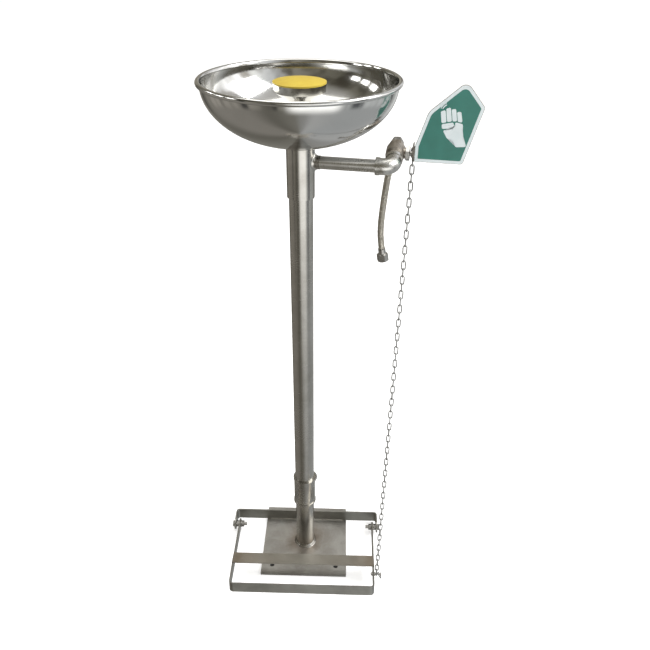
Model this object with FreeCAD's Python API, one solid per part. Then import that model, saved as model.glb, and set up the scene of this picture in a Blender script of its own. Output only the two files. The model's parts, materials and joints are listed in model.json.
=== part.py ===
import FreeCAD, Part
import math
import os

# Pedestal eye and face wash: a bowl and spray head on a pole, opened by a push flag or by a foot treadle.
# Millimetres, +Z up. The origin is on the pole's axis at the underside of the base plate.

# Base plate and pole
plate_side = 200.0
plate_thick = 6.0
plate_corner_r = 2.0
anchor_spacing = 150.0
anchor_hole_d = 12.0
pole_d = 42.4
pole_wall = 2.0
hex_chamfer_share = 0.6
hex_face_share = 0.97
foot_weld_leg = 5.0

# Fittings on the pole
fit_gap = 0.05
sleeve_wall = 2.9
sleeve_d = pole_d + 2 * (fit_gap + sleeve_wall)
socket_depth = 20.0
moving_gap = 0.3
drain_tee_bottom = 148.0
drain_tee_length = 75.0
drain_axis_height = 37.5
drain_outlet_proud = 15.85
drain_outlet_reach = sleeve_d / 2 + drain_outlet_proud
drain_branch_d = 40.0
drain_ring_d = 43.0
drain_thread_d = 33.2
drain_thread_depth = 16.0
tee_ring_proud = 1.35
tee_ring_d = sleeve_d + 2 * tee_ring_proud
tee_ring_height = 4.0
inlet_tee_bottom = 894.0
inlet_tee_length = 87.0
inlet_tee_ring_proud = 0.65
inlet_tee_ring_d = sleeve_d + 2 * inlet_tee_ring_proud
inlet_tee_ring_height = 2.5
head_yaw = -8.75

# Inlet arm and its two elbows
arm_above_tee_bottom = 61.5
arm_z = inlet_tee_bottom + arm_above_tee_bottom
arm_d = 21.3
arm_wall = 2.6
arm_boss_wall = 0.7
arm_boss_d = arm_d + 2 * (fit_gap + arm_boss_wall)
arm_boss_proud = 9.85
arm_boss_reach = sleeve_d / 2 + arm_boss_proud
arm_boss_fillet = 7.0
arm_elbow_x = 154.0
elbow_wall = 3.05
elbow_d = arm_d + 2 * (fit_gap + elbow_wall)
elbow_collar_wall = 4.0
elbow_collar_d = arm_d + 2 * (fit_gap + elbow_collar_wall)
elbow_collar_length = 7.0
elbow_leg = 28.0
elbow_bend_r = 16.0
elbow_socket_depth = 12.0
elbow_bore_d = 16.0
inner_elbow_d = 20.0
inner_elbow_reach = 17.0
inner_elbow_bend_r = 10.5
inner_cup_d = 22.0
inner_cup_bottom = 12.5
inner_cup_length = 10.0
cup_floor = 2.0

# Bowl, its drain and the riser
riser_d = 17.2
riser_wall = 2.3
bowl_wall_d = 313.4
bowl_height = 97.0
bowl_lip_above_tee = 101.5
bowl_lip_z = inlet_tee_bottom + inlet_tee_length + bowl_lip_above_tee
bowl_sheet = 1.2
bowl_bead_d = 8.0
bowl_bead_overhang = 5.8
bowl_bead_rise_share = 0.8
bowl_flat_d = 72.0
gasket_thick = 2.0
gasket_lip = 2.0
gasket_inset = 1.0
collar_wall = 2.8
collar_d = pole_d - 2 * pole_wall + 2 * collar_wall
flange_d = 66.0
flange_thick = 2.5
flange_neck_wall = 2.5
flange_neck_length = 23.0
flange_hole_d = 6.2
flange_hole_count = 8
riser_gap = 0.2

# Spray head and its dust cover
head_d = 84.0
head_wall = 2.0
head_below_lip = 46.5
head_height = 45.0
head_ring_height = 12.0
head_bottom = bowl_lip_z - head_below_lip
head_top = head_bottom + head_height
head_ring_bottom = head_top - head_ring_height
head_hub_d = 26.0
head_hub_height = 14.0
head_shoulder_share = 0.62
head_shoulder_rise = 9.0
chamber_floor_share = 0.52
chamber_floor_rise = 10.0
screen_thick = 3.0
screen_drop = 1.0
disc_gap = 0.1
nozzle_plate_thick = 2.0
nozzle_gasket_thick = 1.0
nozzle_ring_thick = 2.0
nozzle_ring_width = 3.0
nozzle_hole_d = 2.0
nozzle_circles = 4
nozzle_circle_share = 0.185
nozzle_holes_per_circle = 8
cover_gap = 0.3
cover_d = 85.6
cover_edge_height = 2.2
cover_dome_height = 4.6
cover_wall = 2.0
cover_plug_depth = 1.3

# Ball valve, measured along its flow axis from the elbow's centre and along its stem
valve_tilt = 12.0
valve_distance = 48.0
valve_body_d = 32.0
valve_body_length = 25.5
valve_shoulder = 4.0
valve_crown_drop = 2.0
valve_crown_inset = 1.5
valve_hex_flats = 24.0
valve_hex_length = 6.0
valve_bore_d = 12.5
spigot_d = 20.7
ball_d = 21.0
seat_d = 20.0
seat_length = 5.0
seat_gap = 0.1
seat_end_gap = 0.5
seat_bore_gap = 0.25
cap_spigot_d = 25.8
cap_spigot_length = 5.5
cap_hex_flats = 27.0
cap_hex_length = 9.0
cap_thread_d = 16.4
cap_thread_length = 10.0
stem_d = 8.0
stem_flats = 6.0
stem_gap = 0.08
stem_blade = 3.0
stem_blade_depth = 3.0
stem_blade_root = 4.0
stem_slot_gap = 0.1
stem_tail = 2.0
boss_d = 18.0
boss_reach = 21.0
boss_start = 10.0
packing_d = 14.0
packing_length = 4.8
gland_flats = 22.0
gland_bottom = 17.5
gland_height = 7.0
gland_press_gap = 0.2
handle_washer_d = 16.0
handle_washer_thick = 1.2
handle_nut_flats = 13.0
handle_nut_height = 5.0

# Push flag: a plate with a tab folded back onto the stem
flag_thick = 2.0
flag_bend_r = 2.0
flag_tab_x = 29.0
flag_face_forward = 19.4
flag_tab_drop = 7.4
flag_tab_rise = 18.0
flag_label_thick = 0.4
flag_label_margin = 0.8
tab_boss_r = 9.0
tab_ear_margin = 2.8
flag_corners = [(4.0, -7.4), (4.0, 19.5), (21.0, 74.5), (76.2, 123.5), (108.4, 85.2), (83.6, -7.4)]
flag_corner_radii = [10.0, 24.0, 12.0, 6.0, 6.0, 1.5]

# Foot treadle and the bracket it turns in
bar_height = 25.0
bar_thick = 3.0
bracket_bar_height = 30.0
bracket_half_width = 177.0
bracket_back_y = 64.0
bracket_corner_r = 8.0
bracket_weld_leg = 3.0
bracket_weld_half_length = 92.0
pivot_y = 33.0
treadle_half_width_rear = 166.0
treadle_half_width_front = 161.5
treadle_front_y = -168.0
treadle_corner_r = 10.0
treadle_travel = 7.5
tread_width = 30.0
tread_thick = 3.0
tread_y = -95.0
pivot_bolt_d = 8.0
pivot_gap = 0.1
pivot_side_gap = 0.7
pivot_flats = 13.0
pivot_head_height = 5.3
pivot_nut_height = 6.0
pivot_bolt_length = 29.0
pivot_washer_d = 16.0
pivot_washer_thick = 1.2

# Chain and the bolt that holds its lower end
chain_wire = 2.5
chain_inner_width = 4.5
chain_pitch_wanted = 14.5
chain_slack = 0.15
chain_bolt_reach = 152.3
chain_bolt_d = 4.0
chain_bolt_flats = 7.0
chain_bolt_head = 2.8
chain_bolt_head_gap = 3.5
chain_bolt_stub = 1.5
chain_nut_side_gap = 0.2
chain_nut_height = 3.2
chain_hole_d = 9.4
chain_hole_side = 2.05
chain_hole_drop = 2.4
tail_tilt = 25.0
tail_offset = 5.2
tail_seat = 0.35

# Inlet hose with its nuts, ferrules and bent upper tail
hose_d = 12.4
hose_nut_flats = 20.0
hose_nut_length = 14.0
hose_nut_wall = 2.6
hose_thread_d = 15.2
hose_washer_thick = 1.8
tail_flange_d = 15.0
tail_flange_thick = 1.5
tail_tube_d = 9.0
tail_bore_d = 6.4
tail_corner = 91.0
tail_bend_r = 7.0
tail_swivel = 12.0
tail_insert = 4.0
upper_ferrule_start = 12.0
upper_ferrule_length = 20.0
ferrule_d = 14.6
lower_ferrule_length = 11.0
lower_nut_length = 15.0
hose_lead = 29.0
hose_corner_share = 0.45
hose_points = [(150.9, 84.2, 874.0), (147.7, 86.0, 832.0), (146.4, 86.2, 806.0), (147.0, 86.0, 781.0),
               (150.7, 85.6, 757.0)]

# Sizes that follow from the ones above
pole_r = pole_d / 2
pole_bore_r = pole_r - pole_wall
sleeve_r = sleeve_d / 2
drain_tee_top = drain_tee_bottom + drain_tee_length
drain_axis_z = drain_tee_bottom + drain_axis_height
inlet_tee_top = inlet_tee_bottom + inlet_tee_length
arm_r = arm_d / 2
riser_r = riser_d / 2
riser_bore_r = riser_r - riser_wall
bowl_wall_r = bowl_wall_d / 2
bowl_floor_z = bowl_lip_z - bowl_height * math.sqrt(1 - (bowl_flat_d / bowl_wall_d) ** 2)
flange_bottom = bowl_floor_z + bowl_sheet + gasket_thick
neck_r = pole_bore_r - fit_gap
nozzle_stack = nozzle_gasket_thick + nozzle_plate_thick + nozzle_ring_thick
ledge_z = head_top - cover_plug_depth - cover_gap - nozzle_stack
head_bore_r = head_d / 2 - head_wall
stem_axis_y = valve_distance * math.cos(math.radians(valve_tilt))
stem_axis_z = arm_z + valve_distance * math.sin(math.radians(valve_tilt))
tab_x = arm_elbow_x + flag_tab_x + flag_thick / 2
pivot_z = plate_thick + bar_height / 2
bolt_mid_angle = treadle_travel / 2
chain_travel = 2 * chain_bolt_reach * math.sin(math.radians(bolt_mid_angle))
chain_hole_r = chain_travel / math.sqrt(2)
chain_hole_angle = 45.0 - bolt_mid_angle
chain_hole_y = stem_axis_y + chain_hole_r * math.cos(math.radians(chain_hole_angle))
chain_hole_z = stem_axis_z + chain_hole_r * math.sin(math.radians(chain_hole_angle))

origin = FreeCAD.Vector(0, 0, 0)
x_axis = FreeCAD.Vector(1, 0, 0)
y_axis = FreeCAD.Vector(0, 1, 0)
z_axis = FreeCAD.Vector(0, 0, 1)


def rod(radius, start, end):
    """A solid cylinder between two points."""
    along = end - start
    return Part.makeCylinder(radius, along.Length, start, along)


def post(radius, bottom, top, x=0.0, y=0.0):
    """A solid cylinder that stands on the Z direction."""
    return rod(radius, FreeCAD.Vector(x, y, bottom), FreeCAD.Vector(x, y, top))


def ring(outer_r, inner_r, bottom, top, x=0.0, y=0.0):
    """A tube that stands on the Z direction."""
    return post(outer_r, bottom, top, x, y).cut(post(inner_r, bottom - 1, top + 1, x, y))


def across(outer_r, inner_r, start_x, end_x):
    """A tube along X, centred on the X axis."""
    tube = rod(outer_r, FreeCAD.Vector(start_x, 0, 0), FreeCAD.Vector(end_x, 0, 0))
    if inner_r > 0:
        tube = tube.cut(rod(inner_r, FreeCAD.Vector(start_x - 1, 0, 0), FreeCAD.Vector(end_x + 1, 0, 0)))
    return tube


def turned(edges):
    """The solid swept by a closed outline in the XZ plane as it turns round the Z axis."""
    return Part.Face(Part.Wire(edges)).revolve(origin, z_axis, 360)


def outline(points):
    """Straight edges through (radius, height) points in the XZ plane, closed."""
    corners = [FreeCAD.Vector(r, 0, z) for r, z in points]
    return Part.makePolygon(corners + corners[:1]).Edges


def hexagon(flats, bottom, top):
    """A hexagonal prism on the Z axis with its corners chamfered at both ends."""
    corner_r = flats / math.sqrt(3)
    chamfer = hex_chamfer_share * (corner_r - flats / 2)
    corners = [FreeCAD.Vector(corner_r * math.cos(math.radians(60 * step)),
                              corner_r * math.sin(math.radians(60 * step)), bottom) for step in range(7)]
    prism = Part.Face(Part.makePolygon(corners)).extrude(FreeCAD.Vector(0, 0, top - bottom))
    face_r = flats / 2 * hex_face_share
    envelope = turned(outline([(0, bottom), (face_r, bottom), (corner_r, bottom + chamfer),
                               (corner_r, top - chamfer), (face_r, top), (0, top)]))
    return prism.common(envelope)


def hex_nut(flats, bore_r, bottom, top):
    """A hexagonal nut on the Z axis."""
    return hexagon(flats, bottom, top).cut(post(bore_r, bottom - 1, top + 1))


def lay_along_x(shape, x=0.0, y=0.0, z=0.0):
    """Turns a piece built along Z so that it points along +X, and moves it into place."""
    placed = shape.copy()
    placed.rotate(origin, y_axis, 90)
    placed.translate(FreeCAD.Vector(x, y, z))
    return placed


def rounded_route(points, radii):
    """Straight runs through the points, joined by tangent arcs of the given radii."""
    edges = []
    start = points[0]
    for before, corner, after, radius in zip(points, points[1:], points[2:], radii):
        back = (before - corner).normalize()
        ahead = (after - corner).normalize()
        half_turn = (math.pi - back.getAngle(ahead)) / 2
        reach = radius * math.tan(half_turn)
        arc_start = corner + back * reach
        arc_end = corner + ahead * reach
        middle = (back + ahead).normalize()
        arc_middle = corner + middle * (radius / math.cos(half_turn) - radius)
        edges.append(Part.LineSegment(start, arc_start).toShape())
        edges.append(Part.Arc(arc_start, arc_middle, arc_end).toShape())
        start = arc_end
    edges.append(Part.LineSegment(start, points[-1]).toShape())
    return Part.Wire(edges)


def swept_rod(route, radius):
    """A round rod along a route."""
    first = route.Edges[0]
    start = first.valueAt(first.FirstParameter)
    heading = first.tangentAt(first.FirstParameter)
    section = Part.Wire(Part.makeCircle(radius, start, heading))
    return route.makePipeShell([section], True, False)


def swept_bar(points, radius, middle_z, height):
    """A flat bar on edge that follows points in plan, with rounded corners."""
    corners = [FreeCAD.Vector(x, y, middle_z) for x, y in points]
    route = rounded_route(corners, [radius] * (len(corners) - 2))
    start = corners[0]
    heading = (corners[1] - corners[0]).normalize()
    side = heading.cross(z_axis) * (bar_thick / 2)
    up = z_axis * (height / 2)
    section = Part.makePolygon([start + side + up, start + side - up, start - side - up, start - side + up,
                                start + side + up])
    return route.makePipeShell([section], True, False)


def bar_eye(x, y, z, heading, height):
    """The rounded end of a flat bar."""
    side = heading.cross(z_axis)
    centre = FreeCAD.Vector(x, y, z)
    return rod(height / 2, centre - side * (bar_thick / 2), centre + side * (bar_thick / 2))


def on_head(shape):
    """Turns a piece of the upper assembly, built with the arm along +X, to the arm's real bearing."""
    placed = shape.copy()
    placed.rotate(origin, z_axis, head_yaw)
    return placed


def on_valve(shape):
    """Places a piece built about the arm elbow's centre, with the flow along +Z and the stem along +X."""
    placed = shape.copy()
    placed.rotate(origin, x_axis, valve_tilt - 90)
    placed.translate(FreeCAD.Vector(arm_elbow_x, 0, arm_z))
    return on_head(placed)


def on_stem(shape):
    """Places a piece built along +X about the stem's axis, with X counted from the elbow's centre."""
    placed = shape.copy()
    placed.translate(FreeCAD.Vector(arm_elbow_x, stem_axis_y, stem_axis_z))
    return on_head(placed)


def on_treadle(shape):
    """Lifts a piece of the level treadle to its resting tilt about the pivot."""
    placed = shape.copy()
    placed.rotate(FreeCAD.Vector(0, pivot_y, pivot_z), x_axis, -treadle_travel)
    return placed


def point_on_head(x, y, z):
    """A point of the upper assembly in the part's own frame."""
    return FreeCAD.Rotation(z_axis, head_yaw).multVec(FreeCAD.Vector(x, y, z))


def point_on_valve(x, y, z):
    """A point of the valve's frame in the part's own frame."""
    tilted = FreeCAD.Rotation(x_axis, valve_tilt - 90).multVec(FreeCAD.Vector(x, y, z))
    return point_on_head(tilted.x + arm_elbow_x, tilted.y, tilted.z + arm_z)


def both_sides(shape):
    """A piece on the right and its mirror image on the left."""
    return Part.makeCompound([shape, shape.mirror(origin, x_axis)])


def base_plate():
    """The square floor plate with four anchor holes."""
    half = plate_side / 2
    plate = Part.makeBox(plate_side, plate_side, plate_thick, FreeCAD.Vector(-half, -half, 0))
    uprights = [edge for edge in plate.Edges if abs(edge.tangentAt(0).z) > 0.9]
    plate = plate.makeFillet(plate_corner_r, uprights)
    for side_x in (-1, 1):
        for side_y in (-1, 1):
            x = side_x * anchor_spacing / 2
            y = side_y * anchor_spacing / 2
            plate = plate.cut(post(anchor_hole_d / 2, -1, plate_thick + 1, x, y))
    return plate


def stub_pipe():
    """The short pipe welded to the plate, with its weld bead."""
    top = drain_tee_bottom + socket_depth
    bead = [(pole_bore_r, plate_thick), (pole_r + foot_weld_leg, plate_thick),
            (pole_r, plate_thick + foot_weld_leg), (pole_r, top), (pole_bore_r, top)]
    return turned(outline(bead))


def pole_sleeve(bottom, top, ring_d, ring_height):
    """The outside of a fitting on the pole, with a raised ring of the given height at each end."""
    body = post(sleeve_r, bottom, top)
    lower = post(ring_d / 2, bottom, bottom + ring_height)
    upper = post(ring_d / 2, top - ring_height, top)
    return body.fuse([lower, upper])


def drain_tee():
    """The lower tee: the pole above, the stub below and the threaded drain outlet at the back."""
    body = pole_sleeve(drain_tee_bottom, drain_tee_top, tee_ring_d, tee_ring_height)
    outlet_end = FreeCAD.Vector(0, drain_outlet_reach, drain_axis_z)
    branch = rod(drain_branch_d / 2, FreeCAD.Vector(0, 0, drain_axis_z), outlet_end)
    lip_start = FreeCAD.Vector(0, drain_outlet_reach - tee_ring_height, drain_axis_z)
    lip = rod(drain_ring_d / 2, lip_start, outlet_end)
    body = body.fuse([branch, lip]).removeSplitter()
    socket_r = pole_r + fit_gap
    lower_socket = post(socket_r, drain_tee_bottom - 1, drain_tee_bottom + socket_depth)
    upper_socket = post(socket_r, drain_tee_top - socket_depth, drain_tee_top + 1)
    run_bore = post(pole_bore_r, drain_tee_bottom - 1, drain_tee_top + 1)
    thread_start = FreeCAD.Vector(0, drain_outlet_reach - drain_thread_depth, drain_axis_z)
    thread = rod(drain_thread_d / 2, thread_start, outlet_end + y_axis)
    branch_bore = rod(drain_thread_d / 2 - pole_wall, FreeCAD.Vector(0, 0, drain_axis_z), outlet_end)
    return on_head(body.cut([lower_socket, upper_socket, run_bore, thread, branch_bore]))


def main_pipe():
    """The pole between the two tees."""
    bottom = drain_tee_top - socket_depth
    return ring(pole_r, pole_bore_r, bottom, inlet_tee_bottom + socket_depth)


def inlet_tee():
    """The upper tee: the pole below, the bowl above and the arm's boss at the side."""
    sleeve = post(sleeve_r, inlet_tee_bottom, inlet_tee_top)
    boss = rod(arm_boss_d / 2, FreeCAD.Vector(0, 0, arm_z), FreeCAD.Vector(arm_boss_reach, 0, arm_z))
    body = sleeve.fuse(boss)
    joint_edges = [edge for edge in body.Edges
                   if abs(edge.CenterOfMass.z - arm_z) < 1 and 5 < edge.CenterOfMass.x < sleeve_r + 1
                   and edge.BoundBox.ZLength > arm_boss_d / 2]
    body = body.makeFillet(arm_boss_fillet, joint_edges)
    rim = post(inlet_tee_ring_d / 2, inlet_tee_top - inlet_tee_ring_height, inlet_tee_top)
    body = body.fuse(rim)
    lower_socket = post(pole_r + fit_gap, inlet_tee_bottom - 1, inlet_tee_bottom + socket_depth)
    run_bore = post(pole_bore_r, inlet_tee_bottom - 1, inlet_tee_top + 1)
    arm_bore = rod(arm_r + fit_gap, FreeCAD.Vector(0, 0, arm_z), FreeCAD.Vector(arm_boss_reach + 1, 0, arm_z))
    return on_head(body.cut([lower_socket, run_bore, arm_bore]))


def inlet_arm():
    """The level half-inch pipe from the inner elbow to the arm elbow."""
    end_x = arm_elbow_x - elbow_leg + elbow_socket_depth
    arm = across(arm_r, arm_r - arm_wall, inner_elbow_reach, end_x)
    arm.translate(FreeCAD.Vector(0, 0, arm_z))
    return on_head(arm)


def inner_elbow():
    """The elbow inside the upper tee that turns the supply up into the riser."""
    top = inner_cup_bottom + inner_cup_length
    arm_side = FreeCAD.Vector(inner_elbow_reach, 0, 0)
    route = rounded_route([arm_side, origin, FreeCAD.Vector(0, 0, inner_cup_bottom)], [inner_elbow_bend_r])
    body = swept_rod(route, inner_elbow_d / 2)
    cup = post(inner_cup_d / 2, inner_cup_bottom, top)
    socket = post(riser_r + fit_gap, top - inner_cup_length + cup_floor, top + 1)
    water = swept_rod(route, riser_bore_r)
    step = post(riser_bore_r, inner_cup_bottom - 1, top)
    elbow = body.fuse(cup).cut([water, step, socket])
    elbow.translate(FreeCAD.Vector(0, 0, arm_z))
    return on_head(elbow)


def riser_pipe():
    """The pipe that stands in the bowl's drain and carries the spray head."""
    bottom = arm_z + inner_cup_bottom + cup_floor
    return ring(riser_r, riser_bore_r, bottom, head_bottom + head_hub_height - head_wall)


def arm_elbow():
    """The cast elbow at the arm's end, about its own centre."""
    arm_end = FreeCAD.Vector(-elbow_leg, 0, 0)
    valve_end = FreeCAD.Vector(0, 0, elbow_leg)
    route = rounded_route([arm_end, origin, valve_end], [elbow_bend_r])
    body = swept_rod(route, elbow_d / 2)
    arm_collar = rod(elbow_collar_d / 2, arm_end, arm_end + x_axis * elbow_collar_length)
    valve_collar = rod(elbow_collar_d / 2, valve_end - z_axis * elbow_collar_length, valve_end)
    body = body.fuse([arm_collar, valve_collar])
    water = swept_rod(route, elbow_bore_d / 2)
    arm_socket = rod(arm_r + fit_gap, arm_end - x_axis, arm_end + x_axis * elbow_socket_depth)
    valve_socket = rod(spigot_d / 2 + fit_gap, valve_end + z_axis, valve_end - z_axis * elbow_socket_depth)
    return on_valve(body.cut([water, arm_socket, valve_socket]))


def ellipse_edge(radius, height, flat_r):
    """One side of the bowl's curve in the XZ plane, from the edge of the flat floor up to the lip."""
    turn = math.acos(flat_r / radius)
    edge = Part.Ellipse(origin, radius, height).toShape(2 * math.pi - turn, 2 * math.pi)
    edge.rotate(origin, x_axis, 90)
    edge.translate(FreeCAD.Vector(0, 0, bowl_lip_z))
    return edge


def bowl_solid(radius, height, floor_z):
    """The space inside one of the bowl's two surfaces, below the lip."""
    flat_r = radius * math.sqrt(1 - ((bowl_lip_z - floor_z) / height) ** 2)
    curve = ellipse_edge(radius, height, flat_r)
    floor_centre = FreeCAD.Vector(0, 0, floor_z)
    lip_centre = FreeCAD.Vector(0, 0, bowl_lip_z)
    floor_edge = Part.makeLine(floor_centre, FreeCAD.Vector(flat_r, 0, floor_z))
    lip_edge = Part.makeLine(FreeCAD.Vector(radius, 0, bowl_lip_z), lip_centre)
    return turned([floor_edge, curve, lip_edge, Part.makeLine(lip_centre, floor_centre)])


def bowl():
    """The spun bowl: an elliptical section with a flat floor, a drain hole and a rolled rim."""
    bead_r = bowl_bead_d / 2
    bead_x = bowl_wall_r + bowl_bead_overhang - bead_r
    outside = bowl_solid(bowl_wall_r, bowl_height, bowl_floor_z)
    inside = bowl_solid(bowl_wall_r - bowl_sheet, bowl_height - bowl_sheet, bowl_floor_z + bowl_sheet)
    bead = Part.makeTorus(bead_x, bead_r, FreeCAD.Vector(0, 0, bowl_lip_z + bead_r * bowl_bead_rise_share))
    hole = post(neck_r + fit_gap, bowl_floor_z - 1, bowl_floor_z + bowl_sheet + 1)
    return outside.cut([inside, hole]).fuse(bead).removeSplitter()


def bowl_collar():
    """The collar that carries the bowl on top of the upper tee."""
    return ring(collar_d / 2, neck_r + fit_gap, inlet_tee_top, bowl_floor_z - gasket_thick)


def bowl_gaskets():
    """The rubber rings under the bowl's floor and under the drain flange."""
    outer = ring(collar_d / 2 + gasket_lip, neck_r + fit_gap, bowl_floor_z - gasket_thick, bowl_floor_z)
    inner = ring(flange_d / 2 - gasket_inset, neck_r + fit_gap, bowl_floor_z + bowl_sheet, flange_bottom)
    return Part.makeCompound([outer, inner])


def drain_flange():
    """The strainer flange in the bowl, with a threaded neck that clamps the bowl onto the tee."""
    top = flange_bottom + flange_thick
    plate = post(flange_d / 2, flange_bottom, top)
    neck = ring(neck_r, neck_r - flange_neck_wall, top - flange_neck_length, flange_bottom + 0.5)
    body = plate.fuse(neck).cut(post(riser_r + riser_gap, flange_bottom - 1, top + 1))
    hole_circle_r = (riser_r + neck_r - flange_neck_wall) / 2
    for step in range(flange_hole_count):
        angle = 2 * math.pi * step / flange_hole_count
        x = hole_circle_r * math.cos(angle)
        y = hole_circle_r * math.sin(angle)
        body = body.cut(post(flange_hole_d / 2, flange_bottom - 1, top + 1, x, y))
    return on_head(body)


def spray_housing():
    """The chromed cup of the spray head on the riser."""
    outer_r = head_d / 2
    hub_r = head_hub_d / 2
    hub_top = head_bottom + head_hub_height
    socket_top = hub_top - head_wall
    chamber_r = head_bore_r - nozzle_ring_width
    screen_z = ledge_z - screen_drop - screen_thick
    section = [(riser_r + fit_gap, head_bottom), (hub_r, head_bottom), (hub_r, hub_top),
               (outer_r * head_shoulder_share, hub_top + head_shoulder_rise), (outer_r, head_ring_bottom),
               (outer_r, head_top), (head_bore_r, head_top), (head_bore_r, ledge_z), (chamber_r, ledge_z),
               (chamber_r, screen_z), (chamber_r - head_wall, screen_z),
               (outer_r * chamber_floor_share, hub_top + chamber_floor_rise),
               (riser_bore_r, hub_top + cover_gap), (riser_bore_r, socket_top),
               (riser_r + fit_gap, socket_top)]
    return turned(outline(section))


def aerator_screen():
    """The foam and mesh disc under the nozzle plate."""
    radius = head_bore_r - nozzle_ring_width - disc_gap
    top = ledge_z - screen_drop
    return post(radius, top - screen_thick, top)


def nozzle_gasket():
    """The seal under the nozzle plate."""
    top = ledge_z + nozzle_gasket_thick
    return ring(head_bore_r - disc_gap, head_bore_r - nozzle_ring_width, ledge_z, top)


def nozzle_plate():
    """The perforated plate that the water comes through."""
    bottom = ledge_z + nozzle_gasket_thick
    plate = post(head_bore_r - disc_gap, bottom, bottom + nozzle_plate_thick)
    for circle in range(1, nozzle_circles + 1):
        circle_r = circle * head_bore_r * nozzle_circle_share
        count = circle * nozzle_holes_per_circle
        holes = []
        for step in range(count):
            angle = 2 * math.pi * step / count
            x = circle_r * math.cos(angle)
            y = circle_r * math.sin(angle)
            holes.append(post(nozzle_hole_d / 2, bottom - 1, bottom + nozzle_plate_thick + 1, x, y))
        plate = plate.cut(holes)
    return plate


def nozzle_ring():
    """The ring that holds the nozzle plate down."""
    bottom = ledge_z + nozzle_gasket_thick + nozzle_plate_thick
    return ring(head_bore_r - disc_gap, head_bore_r - nozzle_ring_width, bottom, bottom + nozzle_ring_thick)


def dust_cover():
    """The domed cover that the first water lifts off, with a plug rim inside the housing."""
    outer_r = cover_d / 2
    bottom = head_top + cover_gap
    edge_top = bottom + cover_edge_height
    plug_r = head_bore_r - cover_gap
    plug_bottom = head_top - cover_plug_depth
    mouth_r = plug_r - cover_wall
    dome_top = edge_top + cover_dome_height
    dome_start = FreeCAD.Vector(outer_r, 0, edge_top)
    dome_end = FreeCAD.Vector(0, 0, dome_top)
    drop = cover_dome_height
    dome_r = (outer_r ** 2 + drop ** 2) / (2 * drop)
    half_x = outer_r / 2
    half_z = dome_top - dome_r + math.sqrt(dome_r ** 2 - half_x ** 2)
    dome = Part.Arc(dome_start, FreeCAD.Vector(half_x, 0, half_z), dome_end).toShape()
    ceiling = edge_top
    rim = [(0, ceiling), (mouth_r, ceiling), (mouth_r, plug_bottom), (plug_r, plug_bottom),
           (plug_r, bottom), (outer_r, bottom), (outer_r, edge_top)]
    corners = [FreeCAD.Vector(r, 0, z) for r, z in rim]
    straight = Part.makePolygon(corners).Edges
    return turned(straight + [dome, Part.makeLine(dome_end, corners[0])])


def valve_body():
    """The ball valve's body, with the spigot in the elbow and the boss for the stem."""
    radius = valve_body_d / 2
    hex_bottom = elbow_leg + fit_gap
    barrel_bottom = hex_bottom + valve_hex_length
    barrel_top = barrel_bottom + valve_body_length
    section = [(0, elbow_leg - elbow_socket_depth), (spigot_d / 2, elbow_leg - elbow_socket_depth),
               (spigot_d / 2, barrel_bottom), (radius - valve_shoulder, barrel_bottom),
               (radius, barrel_bottom + valve_shoulder), (radius, barrel_top - valve_crown_drop),
               (radius - valve_crown_inset, barrel_top), (0, barrel_top)]
    body = turned(outline(section)).fuse(hexagon(valve_hex_flats, hex_bottom, barrel_bottom + 0.5))
    boss = rod(boss_d / 2, FreeCAD.Vector(boss_start, 0, valve_distance),
               FreeCAD.Vector(boss_reach, 0, valve_distance))
    body = body.fuse(boss)
    seat_start = valve_distance - ball_d / 2 - seat_end_gap
    cavity = post(cap_spigot_d / 2 + fit_gap, seat_start + seat_length - 0.5, barrel_top + 1)
    pocket = post(seat_d / 2 + fit_gap, seat_start, barrel_top)
    water = post(valve_bore_d / 2, 0, barrel_top)
    stem_bore = rod(stem_d / 2 + stem_gap, FreeCAD.Vector(0, 0, valve_distance),
                    FreeCAD.Vector(boss_reach + 1, 0, valve_distance))
    packing_floor = FreeCAD.Vector(boss_reach - packing_length, 0, valve_distance)
    packing_end = FreeCAD.Vector(boss_reach + 1, 0, valve_distance)
    packing_bore = rod(packing_d / 2 + fit_gap, packing_floor, packing_end)
    return on_valve(body.cut([cavity, pocket, water, stem_bore, packing_bore]))


def ball_seats():
    """The two plastic seat rings that seal on the ball."""
    seat_start = valve_distance - ball_d / 2 - seat_end_gap
    seat = ring(seat_d / 2, valve_bore_d / 2 + seat_bore_gap, seat_start, seat_start + seat_length)
    seat = seat.cut(Part.makeSphere(ball_d / 2 + seat_gap, FreeCAD.Vector(0, 0, valve_distance)))
    opposite = seat.mirror(FreeCAD.Vector(0, 0, valve_distance), z_axis)
    return on_valve(Part.makeCompound([seat, opposite]))


def valve_cap():
    """The screwed end cap that holds the second seat and takes the hose's nut."""
    body_top = elbow_leg + fit_gap + valve_hex_length + valve_body_length
    hex_bottom = body_top + fit_gap
    hex_top = hex_bottom + cap_hex_length
    seat_end = valve_distance + ball_d / 2 + seat_end_gap
    spigot = post(cap_spigot_d / 2, body_top - cap_spigot_length, hex_bottom + 0.5)
    thread = post(cap_thread_d / 2, hex_top - 0.5, hex_top + cap_thread_length)
    body = hexagon(cap_hex_flats, hex_bottom, hex_top).fuse([spigot, thread])
    pocket = post(seat_d / 2 + fit_gap, 0, seat_end)
    water = post(valve_bore_d / 2, 0, hex_top + cap_thread_length + 1)
    return on_valve(body.cut([pocket, water]))


def valve_ball():
    """The ball, closed at rest: its bore lies across the flow, and a slot takes the stem's blade."""
    centre = FreeCAD.Vector(0, 0, valve_distance)
    ball = Part.makeSphere(ball_d / 2, centre)
    bore = rod(valve_bore_d / 2, centre - y_axis * ball_d, centre + y_axis * ball_d)
    slot = blade_box(stem_blade + 2 * fit_gap, stem_slot_gap, 2 * ball_d)
    return on_valve(ball.cut([bore, slot]))


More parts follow.
